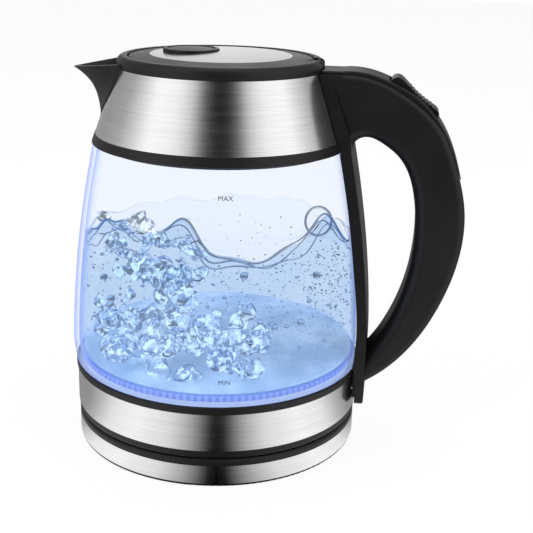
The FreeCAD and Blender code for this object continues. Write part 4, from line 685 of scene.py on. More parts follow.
class Bench:
    """Modelling steps, made with operators as by hand."""

    @staticmethod
    def clear() -> None:
        """Leave edit mode and deselect everything."""
        if bpy.context.object and bpy.context.object.mode != "OBJECT":
            bpy.ops.object.mode_set(mode="OBJECT")
        bpy.ops.object.select_all(action="DESELECT")

    @staticmethod
    def named(name: str) -> bpy.types.Object:
        """Name the object that was just added.

        Args:
            name: Name of the object and of its mesh.

        Returns:
            The object.
        """
        piece = bpy.context.object
        piece.name = piece.data.name = name
        return piece

    @staticmethod
    def edit() -> None:
        """Enter edit mode with everything selected."""
        bpy.ops.object.mode_set(mode="EDIT")
        bpy.ops.mesh.select_all(action="SELECT")

    @staticmethod
    def done() -> None:
        """Return to object mode."""
        bpy.ops.object.mode_set(mode="OBJECT")

    @staticmethod
    def only(piece: bpy.types.Object) -> None:
        """Select one piece alone and make it active.

        Args:
            piece: The piece.
        """
        Bench.clear()
        piece.select_set(True)
        bpy.context.view_layer.objects.active = piece

    @staticmethod
    def settle(piece: bpy.types.Object) -> None:
        """Move a piece's place, turn and size into its mesh."""
        Bench.only(piece)
        bpy.ops.object.transform_apply(location=True, rotation=True, scale=True)

    @staticmethod
    def smooth(piece: bpy.types.Object, angle: float = 35.0) -> None:
        """Shade a piece smooth, with sharp edges over an angle."""
        Bench.only(piece)
        bpy.ops.object.shade_smooth_by_angle(angle=math.radians(angle))

    @staticmethod
    def apply(piece: bpy.types.Object, kind: str, **settings: object) -> None:
        """Add a modifier and apply it.

        Args:
            piece: Object that gets the modifier.
            kind: Type of the modifier.
            settings: Values set on it before it is applied.
        """
        Bench.only(piece)
        bpy.ops.object.modifier_add(type=kind)
        modifier = piece.modifiers[-1]
        for key, value in settings.items():
            setattr(modifier, key, value)
        bpy.ops.object.modifier_apply(modifier=modifier.name)

    @staticmethod
    def lathe(name: str, points: Sequence[Point], steps: int, closed: bool) -> bpy.types.Object:
        """Spin an outline about the jug's axis.

        Args:
            name: Name of the piece.
            points: Radius and height of the outline's points, in millimetres.
            steps: Number of steps in the full turn.
            closed: Whether the outline returns to its first point.

        Returns:
            The piece.
        """
        Bench.clear()
        bpy.ops.mesh.primitive_plane_add(size=MM, location=(0.0, 0.0, 0.0))
        piece = Bench.named(name)
        Bench.edit()
        bpy.ops.mesh.merge(type="CENTER")
        chain = list(points) + ([points[0]] if closed else [])
        bpy.ops.transform.translate(value=(chain[0][0] * MM, 0.0, chain[0][1] * MM))
        for (r0, z0), (r1, z1) in zip(chain, chain[1:]):
            step = ((r1 - r0) * MM, 0.0, (z1 - z0) * MM)
            bpy.ops.mesh.extrude_vertices_move(TRANSFORM_OT_translate={"value": step})
        bpy.ops.mesh.select_all(action="SELECT")
        bpy.ops.mesh.remove_doubles(threshold=MERGE_MM * MM)
        bpy.ops.mesh.select_all(action="SELECT")
        bpy.ops.mesh.spin(steps=steps, angle=math.tau, center=(0.0, 0.0, 0.0), axis=(0.0, 0.0, 1.0))
        bpy.ops.mesh.select_all(action="SELECT")
        bpy.ops.mesh.remove_doubles(threshold=MERGE_MM * MM)
        bpy.ops.mesh.normals_make_consistent(inside=False)
        Bench.done()
        return piece

    @staticmethod
    def joined(name: str, pieces: Sequence[bpy.types.Object]) -> bpy.types.Object:
        """Join pieces into one.

        Args:
            name: Name of the joined piece.
            pieces: Objects with meshes of their own.

        Returns:
            The piece.
        """
        Bench.clear()
        for piece in pieces:
            piece.select_set(True)
        bpy.context.view_layer.objects.active = pieces[0]
        bpy.ops.object.join()
        return Bench.named(name)

    @staticmethod
    def copies(template: bpy.types.Object, matrices: Sequence[Matrix]) -> list[bpy.types.Object]:
        """Copies of a piece, each with its own mesh.

        Args:
            template: Piece that is copied and then removed.
            matrices: Place of each copy.

        Returns:
            The copies.
        """
        made = []
        for matrix in matrices:
            mesh = template.data.copy()
            mesh.transform(matrix)
            copy = bpy.data.objects.new(template.name, mesh)
            bpy.context.collection.objects.link(copy)
            made.append(copy)
        bpy.data.objects.remove(template)
        return made


def smooth_line(points: Sequence[Point], steps: int) -> list[Point]:
    """Smooth line through points.

    Args:
        points: Points that the line passes through.
        steps: Number of steps between two points.

    Returns:
        Points along the line.
    """
    def tangent(i: int, axis: int) -> float:
        """Slope of the line at a point."""
        low, high = max(i - 1, 0), min(i + 1, len(points) - 1)
        return (points[high][axis] - points[low][axis]) / (high - low)

    line = []
    for i in range(len(points) - 1):
        for k in range(steps):
            t = k / steps
            square, cube = t ** 2, t ** 3
            weights = (2 * cube - 3 * square + 1, cube - 2 * square + t, 3 * square - 2 * cube, cube - square)
            line.append(tuple(
                weights[0] * points[i][axis] + weights[1] * tangent(i, axis)
                + weights[2] * points[i + 1][axis] + weights[3] * tangent(i + 1, axis) for axis in (0, 1)))
    line.append(tuple(points[-1]))
    return line


def carry(piece: bpy.types.Object, body: Body, slot: Slot, material: bpy.types.Material) -> None:
    """Dress a new piece, set it on its body and report it.

    Args:
        piece: The piece, in place.
        body: Body that it moves with.
        slot: Not used.
        material: Its finish.
    """
    piece.data.materials.clear()
    piece.data.materials.append(material)
    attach(piece, body.value)
    LOG.info("piece %s rides on %s, %d faces", piece.name, body.value, len(piece.data.polygons))


def dress(material: bpy.types.Material, *nodes: str) -> None:
    """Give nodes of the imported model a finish.

    Args:
        material: The finish.
        nodes: Names of the nodes.
    """
    for name in nodes:
        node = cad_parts[name]
        if not node.material_slots:
            node.data.materials.append(material)
        for place in node.material_slots:
            place.material = material
        LOG.info("node %s is %s", name, material.name)


class Finishes:
    """The finishes of the kettle, each made once."""

    def __init__(self) -> None:
        """Make every material."""
        self.black = MouldedPlastic("black_satin_plastic", (0.008, 0.008, 0.0085, 1.0)).make()
        self.black_rib = MouldedPlastic(
            "black_switch_plastic", (0.007, 0.007, 0.0075, 1.0), roughness=0.36).make()
        self.pale = MouldedPlastic("pale_plastic", (0.62, 0.62, 0.60, 1.0), specular=0.5).make()
        self.steel_round = BrushedSteel("steel_brushed_round", Brushing.ROUND_AXIS).make()
        # Painted shade: the lid's steel is a darker copy of the brushed steel, so that the lid plate reads
        # darker under the same light.
        self.steel_shaded_lid = BrushedSteel(
            "steel_brushed_lid_painted_shade", Brushing.ROUND_CENTRE, colour=(0.46, 0.46, 0.47, 1.0), line_mm=0.5).make()
        # Painted light: the heating plate's steel is a lighter copy of the brushed steel, so that it reads
        # lighter through the water.
        self.steel_lit_plate = BrushedSteel(
            "steel_heating_plate_painted_light", Brushing.ROUND_CENTRE, colour=(0.85, 0.85, 0.86, 1.0),
            roughness=0.45).make()
        self.plated = PlainMetal("plated_steel", (0.55, 0.55, 0.57, 1.0)).make()
        self.alloy = PlainMetal("cast_alloy", (0.62, 0.62, 0.63, 1.0), roughness=0.5).make()
        self.brass = PlainMetal("contact_brass", (0.72, 0.55, 0.26, 1.0), roughness=0.3).make()
        self.rubber = SoftRubber("black_rubber", (0.018, 0.018, 0.018, 1.0)).make()
        self.silicone = SoftRubber("white_silicone", (0.72, 0.73, 0.74, 1.0), roughness=0.5).make()
        self.sheath = SoftRubber("lead_sheath", (0.02, 0.02, 0.022, 1.0), roughness=0.5).make()
        self.blackened = PlainMetal("blackened_steel", (0.03, 0.03, 0.032, 1.0), roughness=0.5).make()
        self.board = CircuitBoard("lacquered_board").make()
        self.guide = LitGuide("lit_guide").make()
        self.lamps = LitGuide("lit_lamps", strength=1.5).make()
        self.glass = JarGlass("jar_glass").make()
        self.water = ClearWater("boiling_water").make()
        # The outline colours below are painted dark rims. The clusters' skin also has glowing white patches
        # of froth and painted highlight.
        self.foam_and_highlight = BubbleSkin("foam_and_highlight_skin", (0.03, 0.075, 0.19, 1.0), 0.34, 0.9, foam_and_highlight=0.8).make()
        self.wave = BubbleSkin("wave_skin", (0.03, 0.10, 0.30, 1.0), 0.15, 0.8).make()
        self.fine = BubbleSkin("fine_bubble_skin", (0.10, 0.20, 0.40, 1.0), 0.25, 0.8).make()
        self.mist = BubbleMist("bubble_mist").make()
        self.ink = PrintedMark("mark_ink").make()


@dataclass
class PowerBase:
    """Round base with its connector, feet and cord gland."""

    plastic: tuple[str, ...] = ("base_floor", "base_deck", "base_connector")
    rubber: tuple[str, ...] = ("base_feet", "cord_gland")

    def dress(self, finishes: Finishes) -> None:
        """Dress the nodes of the base.

        Args:
            finishes: Finishes of the kettle.
        """
        dress(finishes.black, *self.plastic)
        dress(finishes.rubber, *self.rubber)
        dress(finishes.steel_round, "base_band")
        dress(finishes.plated, "base_screws")
        dress(finishes.brass, "connector_contacts")


@dataclass
class JugFoot:
    """Lower half of the jug: foot, band, heater and lit ring."""

    plastic: tuple[str, ...] = ("jug_foot", "heater_housing", "jug_socket")
    alloy: tuple[str, ...] = ("heat_spreader", "heating_element")

    def dress(self, finishes: Finishes) -> None:
        """Dress the nodes of the lower half.

        Args:
            finishes: Finishes of the kettle.
        """
        dress(finishes.black, *self.plastic)
        dress(finishes.steel_round, "jug_band")
        dress(finishes.steel_lit_plate, "heating_plate")
        dress(finishes.alloy, *self.alloy)
        dress(finishes.pale, "thermostat")
        dress(finishes.board, "led_board")
        dress(finishes.lamps, "leds")
        dress(finishes.guide, "light_ring")
        dress(finishes.silicone, "lower_seal")
        dress(finishes.plated, "foot_screws")
        dress(finishes.brass, "socket_contacts")


@dataclass
class GlassJar:
    """Blown jar with its printed marks."""

    foot_z: float = 43.6
    foot: Point = (76.3, 0.9)
    belly: Point = (77.5, 14.0)
    waist: Point = (75.0, 51.0)
    neck: Point = (70.6, 84.0)
    top: Point = (64.9, 115.1)
    wall: float = 2.6
    lip_r: float = 63.2
    lip_low: float = 116.5
    lip_h: float = 118.1
    sink_r: float = 74.6
    sink: float = 2.4
    seat_out: float = 0.1
    seat_in: float = 0.3
    steps: int = 144
    line_steps: int = 9
    crease: float = 40.0
    marks: tuple[tuple[str, float], ...] = (("MAX", 145.2), ("MIN", 57.6))
    mark_turn: float = -78.0
    mark_size: float = 3.3
    mark_thick: float = 0.06
    mark_lift: float = 0.05

    def outline(self, offset: float) -> list[Point]:
        """Outer line of the jar.

        Args:
            offset: Distance that the line is moved outwards.

        Returns:
            Radius and height of points from the foot up.
        """
        line = smooth_line([self.foot, self.belly, self.waist, self.neck, self.top], self.line_steps)
        return [(r + offset, self.foot_z + z) for r, z in line]

    def radius(self, z: float) -> float:
        """Outer radius at a height.

        Args:
            z: Height in millimetres.

        Returns:
            The radius in millimetres.
        """
        line = self.outline(0.0)
        for (r0, z0), (r1, z1) in zip(line, line[1:]):
            if z0 <= z <= z1:
                return r0 + (r1 - r0) * (z - z0) / (z1 - z0)
        return line[0][0] if z < line[0][1] else line[-1][0]

    def build(self, finishes: Finishes) -> None:
        """Model the jar in place of its plain solid.

        Args:
            finishes: Finishes of the kettle.
        """
        lip_z, low_z = self.foot_z + self.lip_h, self.foot_z - self.sink
        lip_in, sink_in = self.lip_r - self.wall, self.sink_r - self.wall
        points = [(self.sink_r, low_z), (self.sink_r, self.foot_z + self.seat_out)]
        points += self.outline(0.0)
        points += [(self.lip_r, self.foot_z + self.lip_low), (self.lip_r, lip_z)]
        points += [(lip_in, lip_z), (lip_in, self.foot_z + self.top[1])]
        points += reversed(self.outline(-self.wall))
        points += [(sink_in, self.foot_z + self.seat_in), (sink_in, low_z)]
        jar = Bench.lathe("glass_jar", points, self.steps, True)
        Bench.smooth(jar, self.crease)
        carry(jar, Body.JUG, Slot.GLASS, finishes.glass)
        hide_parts("glass_body")
        for word, z in self.marks:
            self.mark(word, z, finishes)

    def mark(self, word: str, z: float, finishes: Finishes) -> None:
        """Print a level mark on the front of the jar.

        Args:
            word: The mark.
            z: Height of its middle.
            finishes: Finishes of the kettle.
        """
        Bench.clear()
        bpy.ops.object.text_add(location=(0.0, 0.0, 0.0))
        text = bpy.context.object
        text.data.body = word
        text.data.align_x, text.data.align_y = "CENTER", "CENTER"
        text.data.size = self.mark_size * MM
        text.data.extrude = self.mark_thick * MM
        text.data.resolution_u = 3
        bpy.ops.object.convert(target="MESH")
        piece = Bench.named("mark_" + word.lower())
        Bench.edit()
        bpy.ops.mesh.remove_doubles(threshold=MERGE_MM * MM)
        bpy.ops.mesh.normals_make_consistent(inside=False)
        Bench.done()
        for vertex in piece.data.vertices:
            height = z + vertex.co.y / MM
            reach = self.radius(height) * MM + self.mark_lift * MM + vertex.co.z
            turn = math.radians(self.mark_turn) + vertex.co.x / reach
            vertex.co = (reach * math.cos(turn), reach * math.sin(turn), height * MM)
        carry(piece, Body.JUG, Slot.GLASS, finishes.ink)


@dataclass
class BubbleSwarm:
    """Many bubbles in one part of the water."""

    name: str
    count: int
    sizes: Point
    turns: Point
    radii: Point
    heights: Point
    seed: int
    stretch: float = 0.25
    rarity: float = 2.2
    wall_gap: float = 1.0
    lean: float = 0.6

    def matrices(self, bounds: Reach, ceiling: Ceiling) -> list[Matrix]:
        """Places of the bubbles.

        Args:
            bounds: Largest radius at a height, in millimetres.
            ceiling: Greatest height at a place, in millimetres.

        Returns:
            One matrix for each bubble.
        """
        source = random.Random(self.seed)
        made = []
        while len(made) < self.count:
            size = self.sizes[0] + (self.sizes[1] - self.sizes[0]) * source.random() ** self.rarity
            z = source.uniform(*self.heights)
            radius = min(source.uniform(*self.radii), bounds(z) - size - self.wall_gap)
            turn = math.radians(source.uniform(*self.turns))
            place = Vector((radius * math.cos(turn), radius * math.sin(turn), z))
            if z > ceiling(place.x, place.y):
                continue
            sideways = Matrix.Rotation(source.uniform(-self.lean, self.lean), 4, "X")
            forwards = Matrix.Rotation(source.uniform(-self.lean, self.lean), 4, "Y")
            flat = 1 - self.stretch * source.random()
            shape = Matrix.Diagonal((size * MM, size * MM, size * MM * flat, 1.0))
            made.append(Matrix.Translation(place * MM) @ (sideways @ forwards) @ shape)
        return made


@dataclass(frozen=True)
class Wave:
    """One hump of the water's edge."""

    turn: float
    width: float
    height: float

    def rise(self, turn: float) -> float:
        """Its height at a turn from the front, in millimetres."""
        return self.height * math.exp(-((turn - self.turn) / self.width) ** 2)


@dataclass(frozen=True)
class Ripple:
    """Small waves that run over the whole surface."""

    height: float
    along: float
    across: float
    start: float

    def rise(self, x: float, y: float) -> float:
        """Its height at a place, in millimetres."""
        return self.height * math.sin(x / self.along + y / self.across + self.start)


@dataclass(frozen=True)
class Ribbon:
    """One line of thicker water along the waves."""

    name: str
    drop: float
    thick: float
    sway: float
    beats: int
    least: float = 0.02
    uneven: float = 0.4
    knots: tuple[int, int] = (14, 8)

    def shift(self, turn: float) -> float:
        """How far it lies above the water's edge at a turn, in millimetres."""
        return self.sway * math.sin(math.radians(turn) * self.beats) - self.drop

    def width(self, turn: float) -> float:
        """Radius of the line, which is thinnest at the back.

        Args:
            turn: Turn from the front in degrees.

        Returns:
            The radius in millimetres.
        """
        angle = math.radians(turn)
        facing = 0.5 + 0.5 * math.cos(angle)
        knot = 1.0 + self.uneven * math.sin(angle * self.knots[0]) * math.sin(angle * self.knots[1])
        return self.thick * (self.least + (1.0 - self.least) * facing ** 2) * knot


@dataclass
class BoilingWater:
    """Water at a rolling boil, with its waves, bubbles and splashes."""

    level: float = 111.0
    floor_z: float = 48.9
    gap: float = 0.35
    rings: int = 30
    steps: int = 180
    front: float = -80.2
    waves: tuple[Wave, ...] = (
        Wave(-46.0, 22.0, 18.5), Wave(-14.0, 11.0, 20.0), Wave(20.0, 18.0, 5.0), Wave(49.0, 15.0, 19.0),
        Wave(150.0, 30.0, 3.0),
    )
    ripples: tuple[Ripple, ...] = (Ripple(1.3, 5.3, 8.0, 0.0), Ripple(1.0, 3.1, -4.6, 1.0))
    calm: float = 0.5
    wave_start: float = 0.4
    wave_fade: float = 1.5
    edge: float = 0.5
    wall_steps: int = 20
    floor_rings: int = 6
    ribbons: tuple[Ribbon, ...] = (
        Ribbon("water_lip", 0.0, 0.8, 0.0, 1), Ribbon("water_ribbon_upper", 2.6, 0.5, 2.4, 11),
        Ribbon("water_ribbon_lower", 5.4, 0.4, 3.6, 7),
    )
    ring_turn: float = 48.0
    ring_r: float = 7.0
    ring_wall: float = 0.6
    ring_z: float = 128.5
    ring_face: float = 20.0
    ring_lean: float = 78.0
    ring_in: float = 1.5
    churn: float = 1.6
    churn_seed: int = 5
    eddies: tuple[Point, ...] = ((10.0, 2.2), (5.0, 0.8))
    bubble_depth: float = 4.0
    plain_above: int = 100
    bead_uneven: float = 0.05
    bead_ease: float = 0.3
    cluster_voxel: float = 0.7
    mist_line: tuple[Point, ...] = ((0.0, 55.0), (30.0, 54.8), (52.0, 54.0), (66.0, 52.4), (72.2, 50.5))
    mist_steps: int = 96
    crease: float = 60.0
    swarms: tuple[BubbleSwarm, ...] = (
        BubbleSwarm("bubbles_fine_right", 760, (0.28, 0.85), (-84.0, 4.0), (60.0, 73.0), (56.0, 114.0), 11),
        BubbleSwarm("bubbles_fine_left", 240, (0.28, 1.0), (-165.0, -84.0), (58.0, 73.0), (58.0, 118.0), 12),
        BubbleSwarm("bubbles_fine_back", 160, (0.35, 1.0), (10.0, 170.0), (50.0, 72.0), (58.0, 104.0), 13),
        BubbleSwarm("bubbles_middle", 44, (1.0, 2.4), (-150.0, -30.0), (58.0, 70.0), (58.0, 112.0), 14),
    )
    clusters: tuple[BubbleSwarm, ...] = (
        BubbleSwarm("bubble_column", 120, (2.2, 7.0), (-158.0, -62.0), (48.0, 70.0), (51.0, 82.0), 21, 0.5),
        BubbleSwarm("bubble_crown", 60, (1.8, 5.5), (-150.0, -92.0), (52.0, 69.0), (100.0, 126.0), 22, 0.5),
        BubbleSwarm("bubble_plume", 26, (2.6, 6.5), (-112.0, -92.0), (54.0, 69.0), (82.0, 108.0), 23, 0.5),
    )

    def rim_z(self, turn: float) -> float:
        """Height of the water's edge above its level at a turn from the front, in degrees."""
        around = (turn + 180.0) % 360.0 - 180.0
        return sum(wave.rise(around) for wave in self.waves)

    def swell(self, x: float, y: float, rim: float) -> float:
        """Height of the surface above the level.

        Args:
            x: Place in millimetres.
            y: Place in millimetres.
            rim: Radius of the water's edge.

        Returns:
            The height in millimetres.
        """
        share = min(math.hypot(x, y) / rim, 1.0)
        turn = math.degrees(math.atan2(y, x)) - self.front
        chop = sum(ripple.rise(x, y) for ripple in self.ripples)
        return self.rim_z(turn) * share ** 3 + chop * (self.calm + (1.0 - self.calm) * share)

    def build(self, jar: GlassJar, finishes: Finishes) -> None:
        """Model the water and everything in it.

        Args:
            jar: Jar that holds it.
            finishes: Finishes of the kettle.
        """
        def reach(z: float) -> float:
            """Largest radius of the water at a height."""
            return jar.radius(z) - jar.wall - self.gap

        def under(x: float, y: float) -> float:
            """Greatest height of a bubble under the surface."""
            return self.level + self.swell(x, y, reach(self.level)) - self.bubble_depth

        def free(x: float, y: float) -> float:
            """Greatest height of a bubble that may leave the water."""
            return math.inf

        noise.seed_set(self.churn_seed)
        self.body(reach, finishes)
        self.mist(finishes)
        for ribbon in self.ribbons:
            self.line(ribbon, reach, finishes)
        self.splash_ring(reach, finishes)
        for swarm in self.swarms:
            detail = 1 if swarm.count > self.plain_above else 2
            pieces = Bench.copies(self.bead(detail), swarm.matrices(reach, under))
            piece = Bench.joined(swarm.name, pieces)
            Bench.smooth(piece, ALL_SMOOTH)
            carry(piece, Body.JUG, Slot.GLASS, finishes.fine)
        for cluster in self.clusters:
            pieces = Bench.copies(self.bead(3), cluster.matrices(reach, free))
            piece = Bench.joined(cluster.name, pieces)
            Bench.apply(piece, "REMESH", mode="VOXEL", voxel_size=self.cluster_voxel * MM)
            self.stir(piece, reach)
            Bench.apply(piece, "SMOOTH", factor=0.5, iterations=3)
            Bench.smooth(piece, ALL_SMOOTH)
            carry(piece, Body.JUG, Slot.GLASS, finishes.foam_and_highlight)

    def mist(self, finishes: Finishes) -> None:
        """Model the cloud of fine bubbles that rises off the heating plate.

        Args:
            finishes: Finishes of the kettle.
        """
        dome, low_z = smooth_line(self.mist_line, 6), self.floor_z + self.gap
        points = dome + [(dome[-1][0], low_z), (0.0, low_z)]
        piece = Bench.lathe("bubble_mist", points, self.mist_steps, False)
        Bench.smooth(piece, self.crease)
        carry(piece, Body.JUG, Slot.GLASS, finishes.mist)

    def stir(self, piece: bpy.types.Object, reach: Reach) -> None:
        """Pull a cluster about as moving water does.

        Args:
            piece: Cluster in place.
            reach: Largest radius of the water at a height.
        """
        for vertex in piece.data.vertices:
            place = vertex.co / MM
            for size, pull in self.eddies:
                place += noise.noise_vector(place / size) * pull * self.churn
            place.z = max(place.z, self.floor_z + self.gap)
            flat, limit = math.hypot(place.x, place.y), reach(place.z) - self.gap
            if flat > limit:
                place.x, place.y = place.x * limit / flat, place.y * limit / flat
            vertex.co = place * MM

    def bead(self, detail: int) -> bpy.types.Object:
        """One bubble of unit size, a little uneven.

        Args:
            detail: Subdivisions of the ball.

        Returns:
            The bubble.
        """
        Bench.clear()
        bpy.ops.mesh.primitive_ico_sphere_add(subdivisions=detail, radius=1.0, location=(0.0, 0.0, 0.0))
        piece = Bench.named("bead")
        Bench.edit()
        bpy.ops.transform.vertex_random(offset=self.bead_uneven, seed=3)
        bpy.ops.mesh.vertices_smooth(factor=self.bead_ease, repeat=1)
        Bench.done()
        return piece

    def edge_point(self, turn: float, reach: Reach, inward: float) -> Vector:
        """Point on the water's edge.

        Args:
            turn: Turn from the front in degrees.
            reach: Largest radius of the water at a height.
            inward: Distance from the wall in millimetres.

        Returns:
            The point in metres.
        """
        angle = math.radians(turn + self.front)
        z = self.level + self.rim_z(turn)
        flat = reach(z)
        z += self.swell(flat * math.cos(angle), flat * math.sin(angle), flat) - self.rim_z(turn)
        flat = reach(z) - inward
        return Vector((flat * math.cos(angle), flat * math.sin(angle), z)) * MM

    def line(self, ribbon: Ribbon, reach: Reach, finishes: Finishes) -> None:
        """Model a line of thicker water along the water's edge.

        Args:
            ribbon: The line.
            reach: Largest radius of the water at a height.
            finishes: Finishes of the kettle.
        """
        tube = 0.1
        Bench.clear()
        bpy.ops.mesh.primitive_torus_add(
            major_segments=240, minor_segments=10, major_radius=1.0, minor_radius=tube,
            location=(0.0, 0.0, 0.0))
        piece = Bench.named(ribbon.name)
        for vertex in piece.data.vertices:
            out = math.hypot(vertex.co.x, vertex.co.y) - 1.0
            turn = math.degrees(math.atan2(vertex.co.y, vertex.co.x))
            centre = self.edge_point(turn, reach, 1.5 * ribbon.thick)
            centre.z += ribbon.shift(turn) * MM
            away = Vector((centre.x, centre.y, 0.0)).normalized()
            round_point = (away * out + Vector((0.0, 0.0, vertex.co.z))) / tube
            vertex.co = centre + round_point * ribbon.width(turn) * MM
        Bench.smooth(piece, ALL_SMOOTH)
        carry(piece, Body.JUG, Slot.GLASS, finishes.wave)

    def splash_ring(self, reach: Reach, finishes: Finishes) -> None:
        """Model the ring that a burst bubble leaves on the right crest.

        Args:
            reach: Largest radius of the water at a height.
            finishes: Finishes of the kettle.
        """
        angle = math.radians(self.front + self.ring_turn)
        flat = reach(self.ring_z) - 2.0 * self.ring_wall - self.ring_in
        place = Vector((flat * math.cos(angle), flat * math.sin(angle), self.ring_z)) * MM
        facing = math.radians(self.front + self.ring_face + 90.0)
        Bench.clear()
        bpy.ops.mesh.primitive_torus_add(
            major_segments=48, minor_segments=12, major_radius=self.ring_r * MM,
            minor_radius=self.ring_wall * MM, location=place,
            rotation=(math.radians(self.ring_lean), 0.0, facing))
        piece = Bench.named("splash_ring")
        Bench.settle(piece)
        Bench.smooth(piece, ALL_SMOOTH)
        carry(piece, Body.JUG, Slot.GLASS, finishes.wave)

    def body(self, reach: Reach, finishes: Finishes) -> None:
        """Model the water itself with its waves.

        Args:
            reach: Largest radius at a height.
            finishes: Finishes of the kettle.
        """
        deep = self.level - self.floor_z
        heights = [self.floor_z + deep * i / self.wall_steps for i in range(self.wall_steps + 1)]
        wall = [(reach(z), z) for z in heights]
        foot, rim = wall[0][0], wall[-1][0]
        floor = [(foot * i / self.floor_rings, self.floor_z) for i in range(self.floor_rings)]
        top = [(rim * (1 - i / self.rings), self.level) for i in range(1, self.rings + 1)]
        water = Bench.lathe("water", floor + wall + top, self.steps, False)
        start = self.floor_z + deep * self.wave_start
        surface = water.data.attributes.new(SURFACE_NAME, "FLOAT", "POINT")
        for vertex in water.data.vertices:
            x, y, z = vertex.co / MM
            inside = math.hypot(x, y) < rim - self.edge
            surface.data[vertex.index].value = 1.0 if inside and z > self.level - self.edge else 0.0
            if z > start:
                z += self.swell(x, y, rim) * ((z - start) / (self.level - start)) ** self.wave_fade
                flat, limit = math.hypot(x, y), reach(z)
                if flat > limit or not inside:
                    x, y = x * limit / flat, y * limit / flat
                vertex.co = Vector((x, y, z)) * MM
        Bench.smooth(water, self.crease)
        carry(water, Body.JUG, Slot.GLASS, finishes.water)


@dataclass
class Collar:
    """Steel collar with its spout, trim and top ring."""

    plastic: tuple[str, ...] = ("collar_trim", "collar_frame", "top_ring")

    def dress(self, finishes: Finishes) -> None:
        """Dress the nodes of the collar.

        Args:
            finishes: Finishes of the kettle.
        """
        dress(finishes.black, *self.plastic)
        dress(finishes.steel_round, "collar_band")
        dress(finishes.silicone, "upper_seal")
        dress(finishes.pale, "spout_filter")
        dress(finishes.blackened, "hinge_pin", "lid_spring")


@dataclass
class Lid:
    """Hinged lid with its plate, button and latch."""

    plastic: tuple[str, ...] = ("lid_cap", "lid_base", "button_bezel", "lid_button")

    def dress(self, finishes: Finishes) -> None:
        """Dress the nodes of the lid.

        Args:
            finishes: Finishes of the kettle.
        """
        dress(finishes.black, *self.plastic)
        dress(finishes.steel_shaded_lid, "lid_plate")
        dress(finishes.silicone, "lid_seal")
        dress(finishes.pale, "latch_bolt")
        dress(finishes.plated, "lid_screws", "button_spring", "latch_spring")


@dataclass
class Handle:
    """Handle with its strap, spine, thumb switch and what is inside."""

    plastic: tuple[str, ...] = ("handle_frame", "hinge_cover", "handle_spine")

    def dress(self, finishes: Finishes) -> None:
        """Dress the nodes of the handle.

        Args:
            finishes: Finishes of the kettle.
        """
        dress(finishes.black, *self.plastic)
        dress(finishes.black_rib, "switch_rocker")
        dress(finishes.pale, "switch_body", "steam_duct")
        dress(finishes.brass, "steam_disc")
        dress(finishes.sheath, "handle_leads")
        dress(finishes.plated, "switch_pin", "handle_screws")


@dataclass(frozen=True)
class SoftBox:
    """Soft lamp, with its place and size in metres."""

    name: str
    place: tuple[float, float, float]
    size: Point
    watts: float

    def hang(self, target: Vector) -> None:
        """Hang the lamp.

        Args:
            target: Point that it faces.
        """
        Bench.clear()
        bpy.ops.object.light_add(type="AREA", location=self.place)
        lamp = bpy.context.object
        lamp.name = self.name
        lamp.data.shape, lamp.data.size, lamp.data.size_y = "RECTANGLE", self.size[0], self.size[1]
        lamp.data.energy = self.watts
        lamp.visible_glossy = False
        aim = target - Vector(self.place)
        lamp.rotation_euler = aim.to_track_quat("-Z", "Y").to_euler()


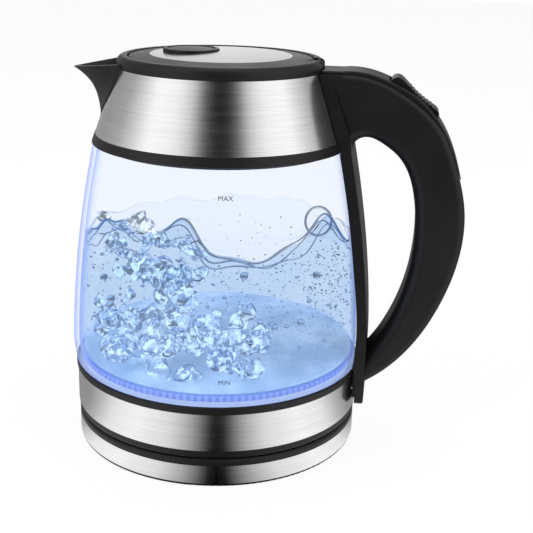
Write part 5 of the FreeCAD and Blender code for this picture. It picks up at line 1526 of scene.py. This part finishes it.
@dataclass
class Studio:
    """Floor, lights, mirrored surroundings and camera."""

    eye: tuple[float, float, float] = (89.5, -520.0, 263.0)
    heading: float = 7.0
    pitch: float = 18.05
    roll: float = 1.49
    lens: float = 69.84
    sensor: float = 36.0
    floor_size: float = 8.0
    floor_white: float = 0.93
    surround: float = 0.45
    aim_z: float = 0.11
    boxes: tuple[SoftBox, ...] = (
        SoftBox("box_left", (-1.1, -1.0, 1.1), (0.9, 1.2), 14.0),
        SoftBox("box_right", (1.3, -0.9, 1.0), (0.9, 1.2), 12.0),
        SoftBox("box_top", (0.1, 0.3, 1.7), (1.4, 1.4), 16.0),
    )
    drum_steps: int = 96
    drum_r: float = 1.4
    drum_h: float = 3.0
    ground_z: float = 0.0004
    mirror_strength: float = 1.3
    levels: tuple[Point, ...] = (
        (0.0, 0.0), (9.0, 0.01), (18.0, 0.1), (30.0, 0.6), (45.0, 0.9), (70.0, 1.0), (88.0, 0.62),
        (105.0, 0.36), (135.0, 0.28), (163.0, 0.3), (173.0, 0.75), (180.0, 0.85),
    )
    ground_levels: tuple[Point, ...] = (
        (0.0, 0.0), (4.0, 0.01), (7.5, 0.1), (16.0, 0.4), (27.0, 0.72), (48.0, 0.92), (66.0, 0.8),
        (80.0, 0.45), (92.0, 0.27), (115.0, 0.24), (180.0, 0.2),
    )

    def camera(self) -> None:
        """Set the camera where the photograph was taken from."""
        a, p, r = math.radians(self.heading), math.radians(self.pitch), math.radians(self.roll)
        right = Vector((math.cos(a), math.sin(a), 0.0))
        up = Vector((-math.sin(a) * math.sin(p), math.cos(a) * math.sin(p), math.cos(p)))
        ahead = Vector((-math.sin(a) * math.cos(p), math.cos(a) * math.cos(p), -math.sin(p)))
        side, top = right * math.cos(r) + up * math.sin(r), up * math.cos(r) - right * math.sin(r)
        Bench.clear()
        bpy.ops.object.camera_add(location=Vector(self.eye) * MM)
        camera = bpy.context.object
        turn = Matrix((side, top, -ahead)).transposed()
        camera.rotation_euler = turn.to_euler()
        camera.data.lens, camera.data.sensor_width = self.lens, self.sensor
        camera.data.clip_start, camera.data.clip_end = 0.01, 50.0
        bpy.context.scene.camera = camera

    def floor(self) -> None:
        """Lay a plain white floor that keeps a soft shadow."""
        Bench.clear()
        bpy.ops.mesh.primitive_plane_add(size=self.floor_size, location=(0.0, 0.0, 0.0))
        piece = Bench.named("studio_floor")
        graph = Graph.material("white_floor")
        plain = graph.principled(Base_Color=grey(0.88), Roughness=0.9, Specular_IOR_Level=0.1)
        white = graph.add("ShaderNodeEmission", None, {"Color": grey(1.0), "Strength": 1.0})[0]
        piece.data.materials.append(graph.finish(graph.mixed(graph.seen() * self.floor_white, plain, white)))

    def reflected(self) -> None:
        """Surround the kettle with what its steel mirrors, out of the camera's and the lamps' sight."""
        Bench.clear()
        bpy.ops.mesh.primitive_cylinder_add(
            vertices=self.drum_steps, radius=self.drum_r, depth=self.drum_h, end_fill_type="NOTHING",
            location=(0.0, 0.0, self.drum_h / 2))
        drum = Bench.named("studio_drum")
        Bench.clear()
        bpy.ops.mesh.primitive_circle_add(
            vertices=self.drum_steps, radius=self.drum_r, fill_type="NGON",
            location=(0.0, 0.0, self.ground_z))
        ground = Bench.named("studio_ground")
        for piece, levels in ((drum, self.levels), (ground, self.ground_levels)):
            Bench.settle(piece)
            piece.data.materials.append(self.mirrored(piece.name, levels))
            piece.visible_camera = piece.visible_shadow = piece.visible_diffuse = False

    def mirrored(self, name: str, levels: Sequence[Point]) -> bpy.types.Material:
        """Glow that changes round the kettle.

        Args:
            name: Name of the material.
            levels: Degrees from the front and the brightness there.

        Returns:
            The material.
        """
        graph = Graph.material(name)
        x, y, _ = graph.parts(graph.place())
        ahead = math.atan2(self.eye[1], self.eye[0])
        along, across = x * math.cos(ahead) + y * math.sin(ahead), y * math.cos(ahead) - x * math.sin(ahead)
        turn = graph.call("ABSOLUTE", graph.call("ARCTAN2", across, along)) / math.pi
        light = graph.ramp(turn, [(angle / 180.0, grey(level)) for angle, level in levels])
        shade = graph.add("ShaderNodeEmission", None, {"Color": light, "Strength": self.mirror_strength})[0]
        return graph.finish(shade)

    def world(self) -> None:
        """Surround the scene with white that lights it softly."""
        world = bpy.data.worlds.new("white_studio")
        bpy.context.scene.world = world
        graph = Graph(world)
        backing = graph.add("ShaderNodeBackground", None, {"Color": grey(1.0), "Strength": self.surround})[0]
        white = graph.add("ShaderNodeBackground", None, {"Color": grey(1.0), "Strength": 1.0})[0]
        graph.add("ShaderNodeOutputWorld", None, {"Surface": graph.mixed(graph.seen(), backing, white)})

    def build(self) -> None:
        """Set up the whole studio."""
        bpy.context.scene.view_settings.view_transform = "Standard"
        self.camera()
        self.floor()
        self.world()
        self.reflected()
        for box in self.boxes:
            box.hang(Vector((0.0, 0.0, self.aim_z)))


def main() -> None:
    """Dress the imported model, add the new pieces and set the stage."""
    logging.basicConfig(level=logging.INFO, format="%(message)s")
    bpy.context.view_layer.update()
    finishes = Finishes()
    PowerBase().dress(finishes)
    JugFoot().dress(finishes)
    jar = GlassJar()
    jar.build(finishes)
    BoilingWater().build(jar, finishes)
    Collar().dress(finishes)
    Lid().dress(finishes)
    Handle().dress(finishes)
    Studio().build()


if __name__ == "__main__":
    main()
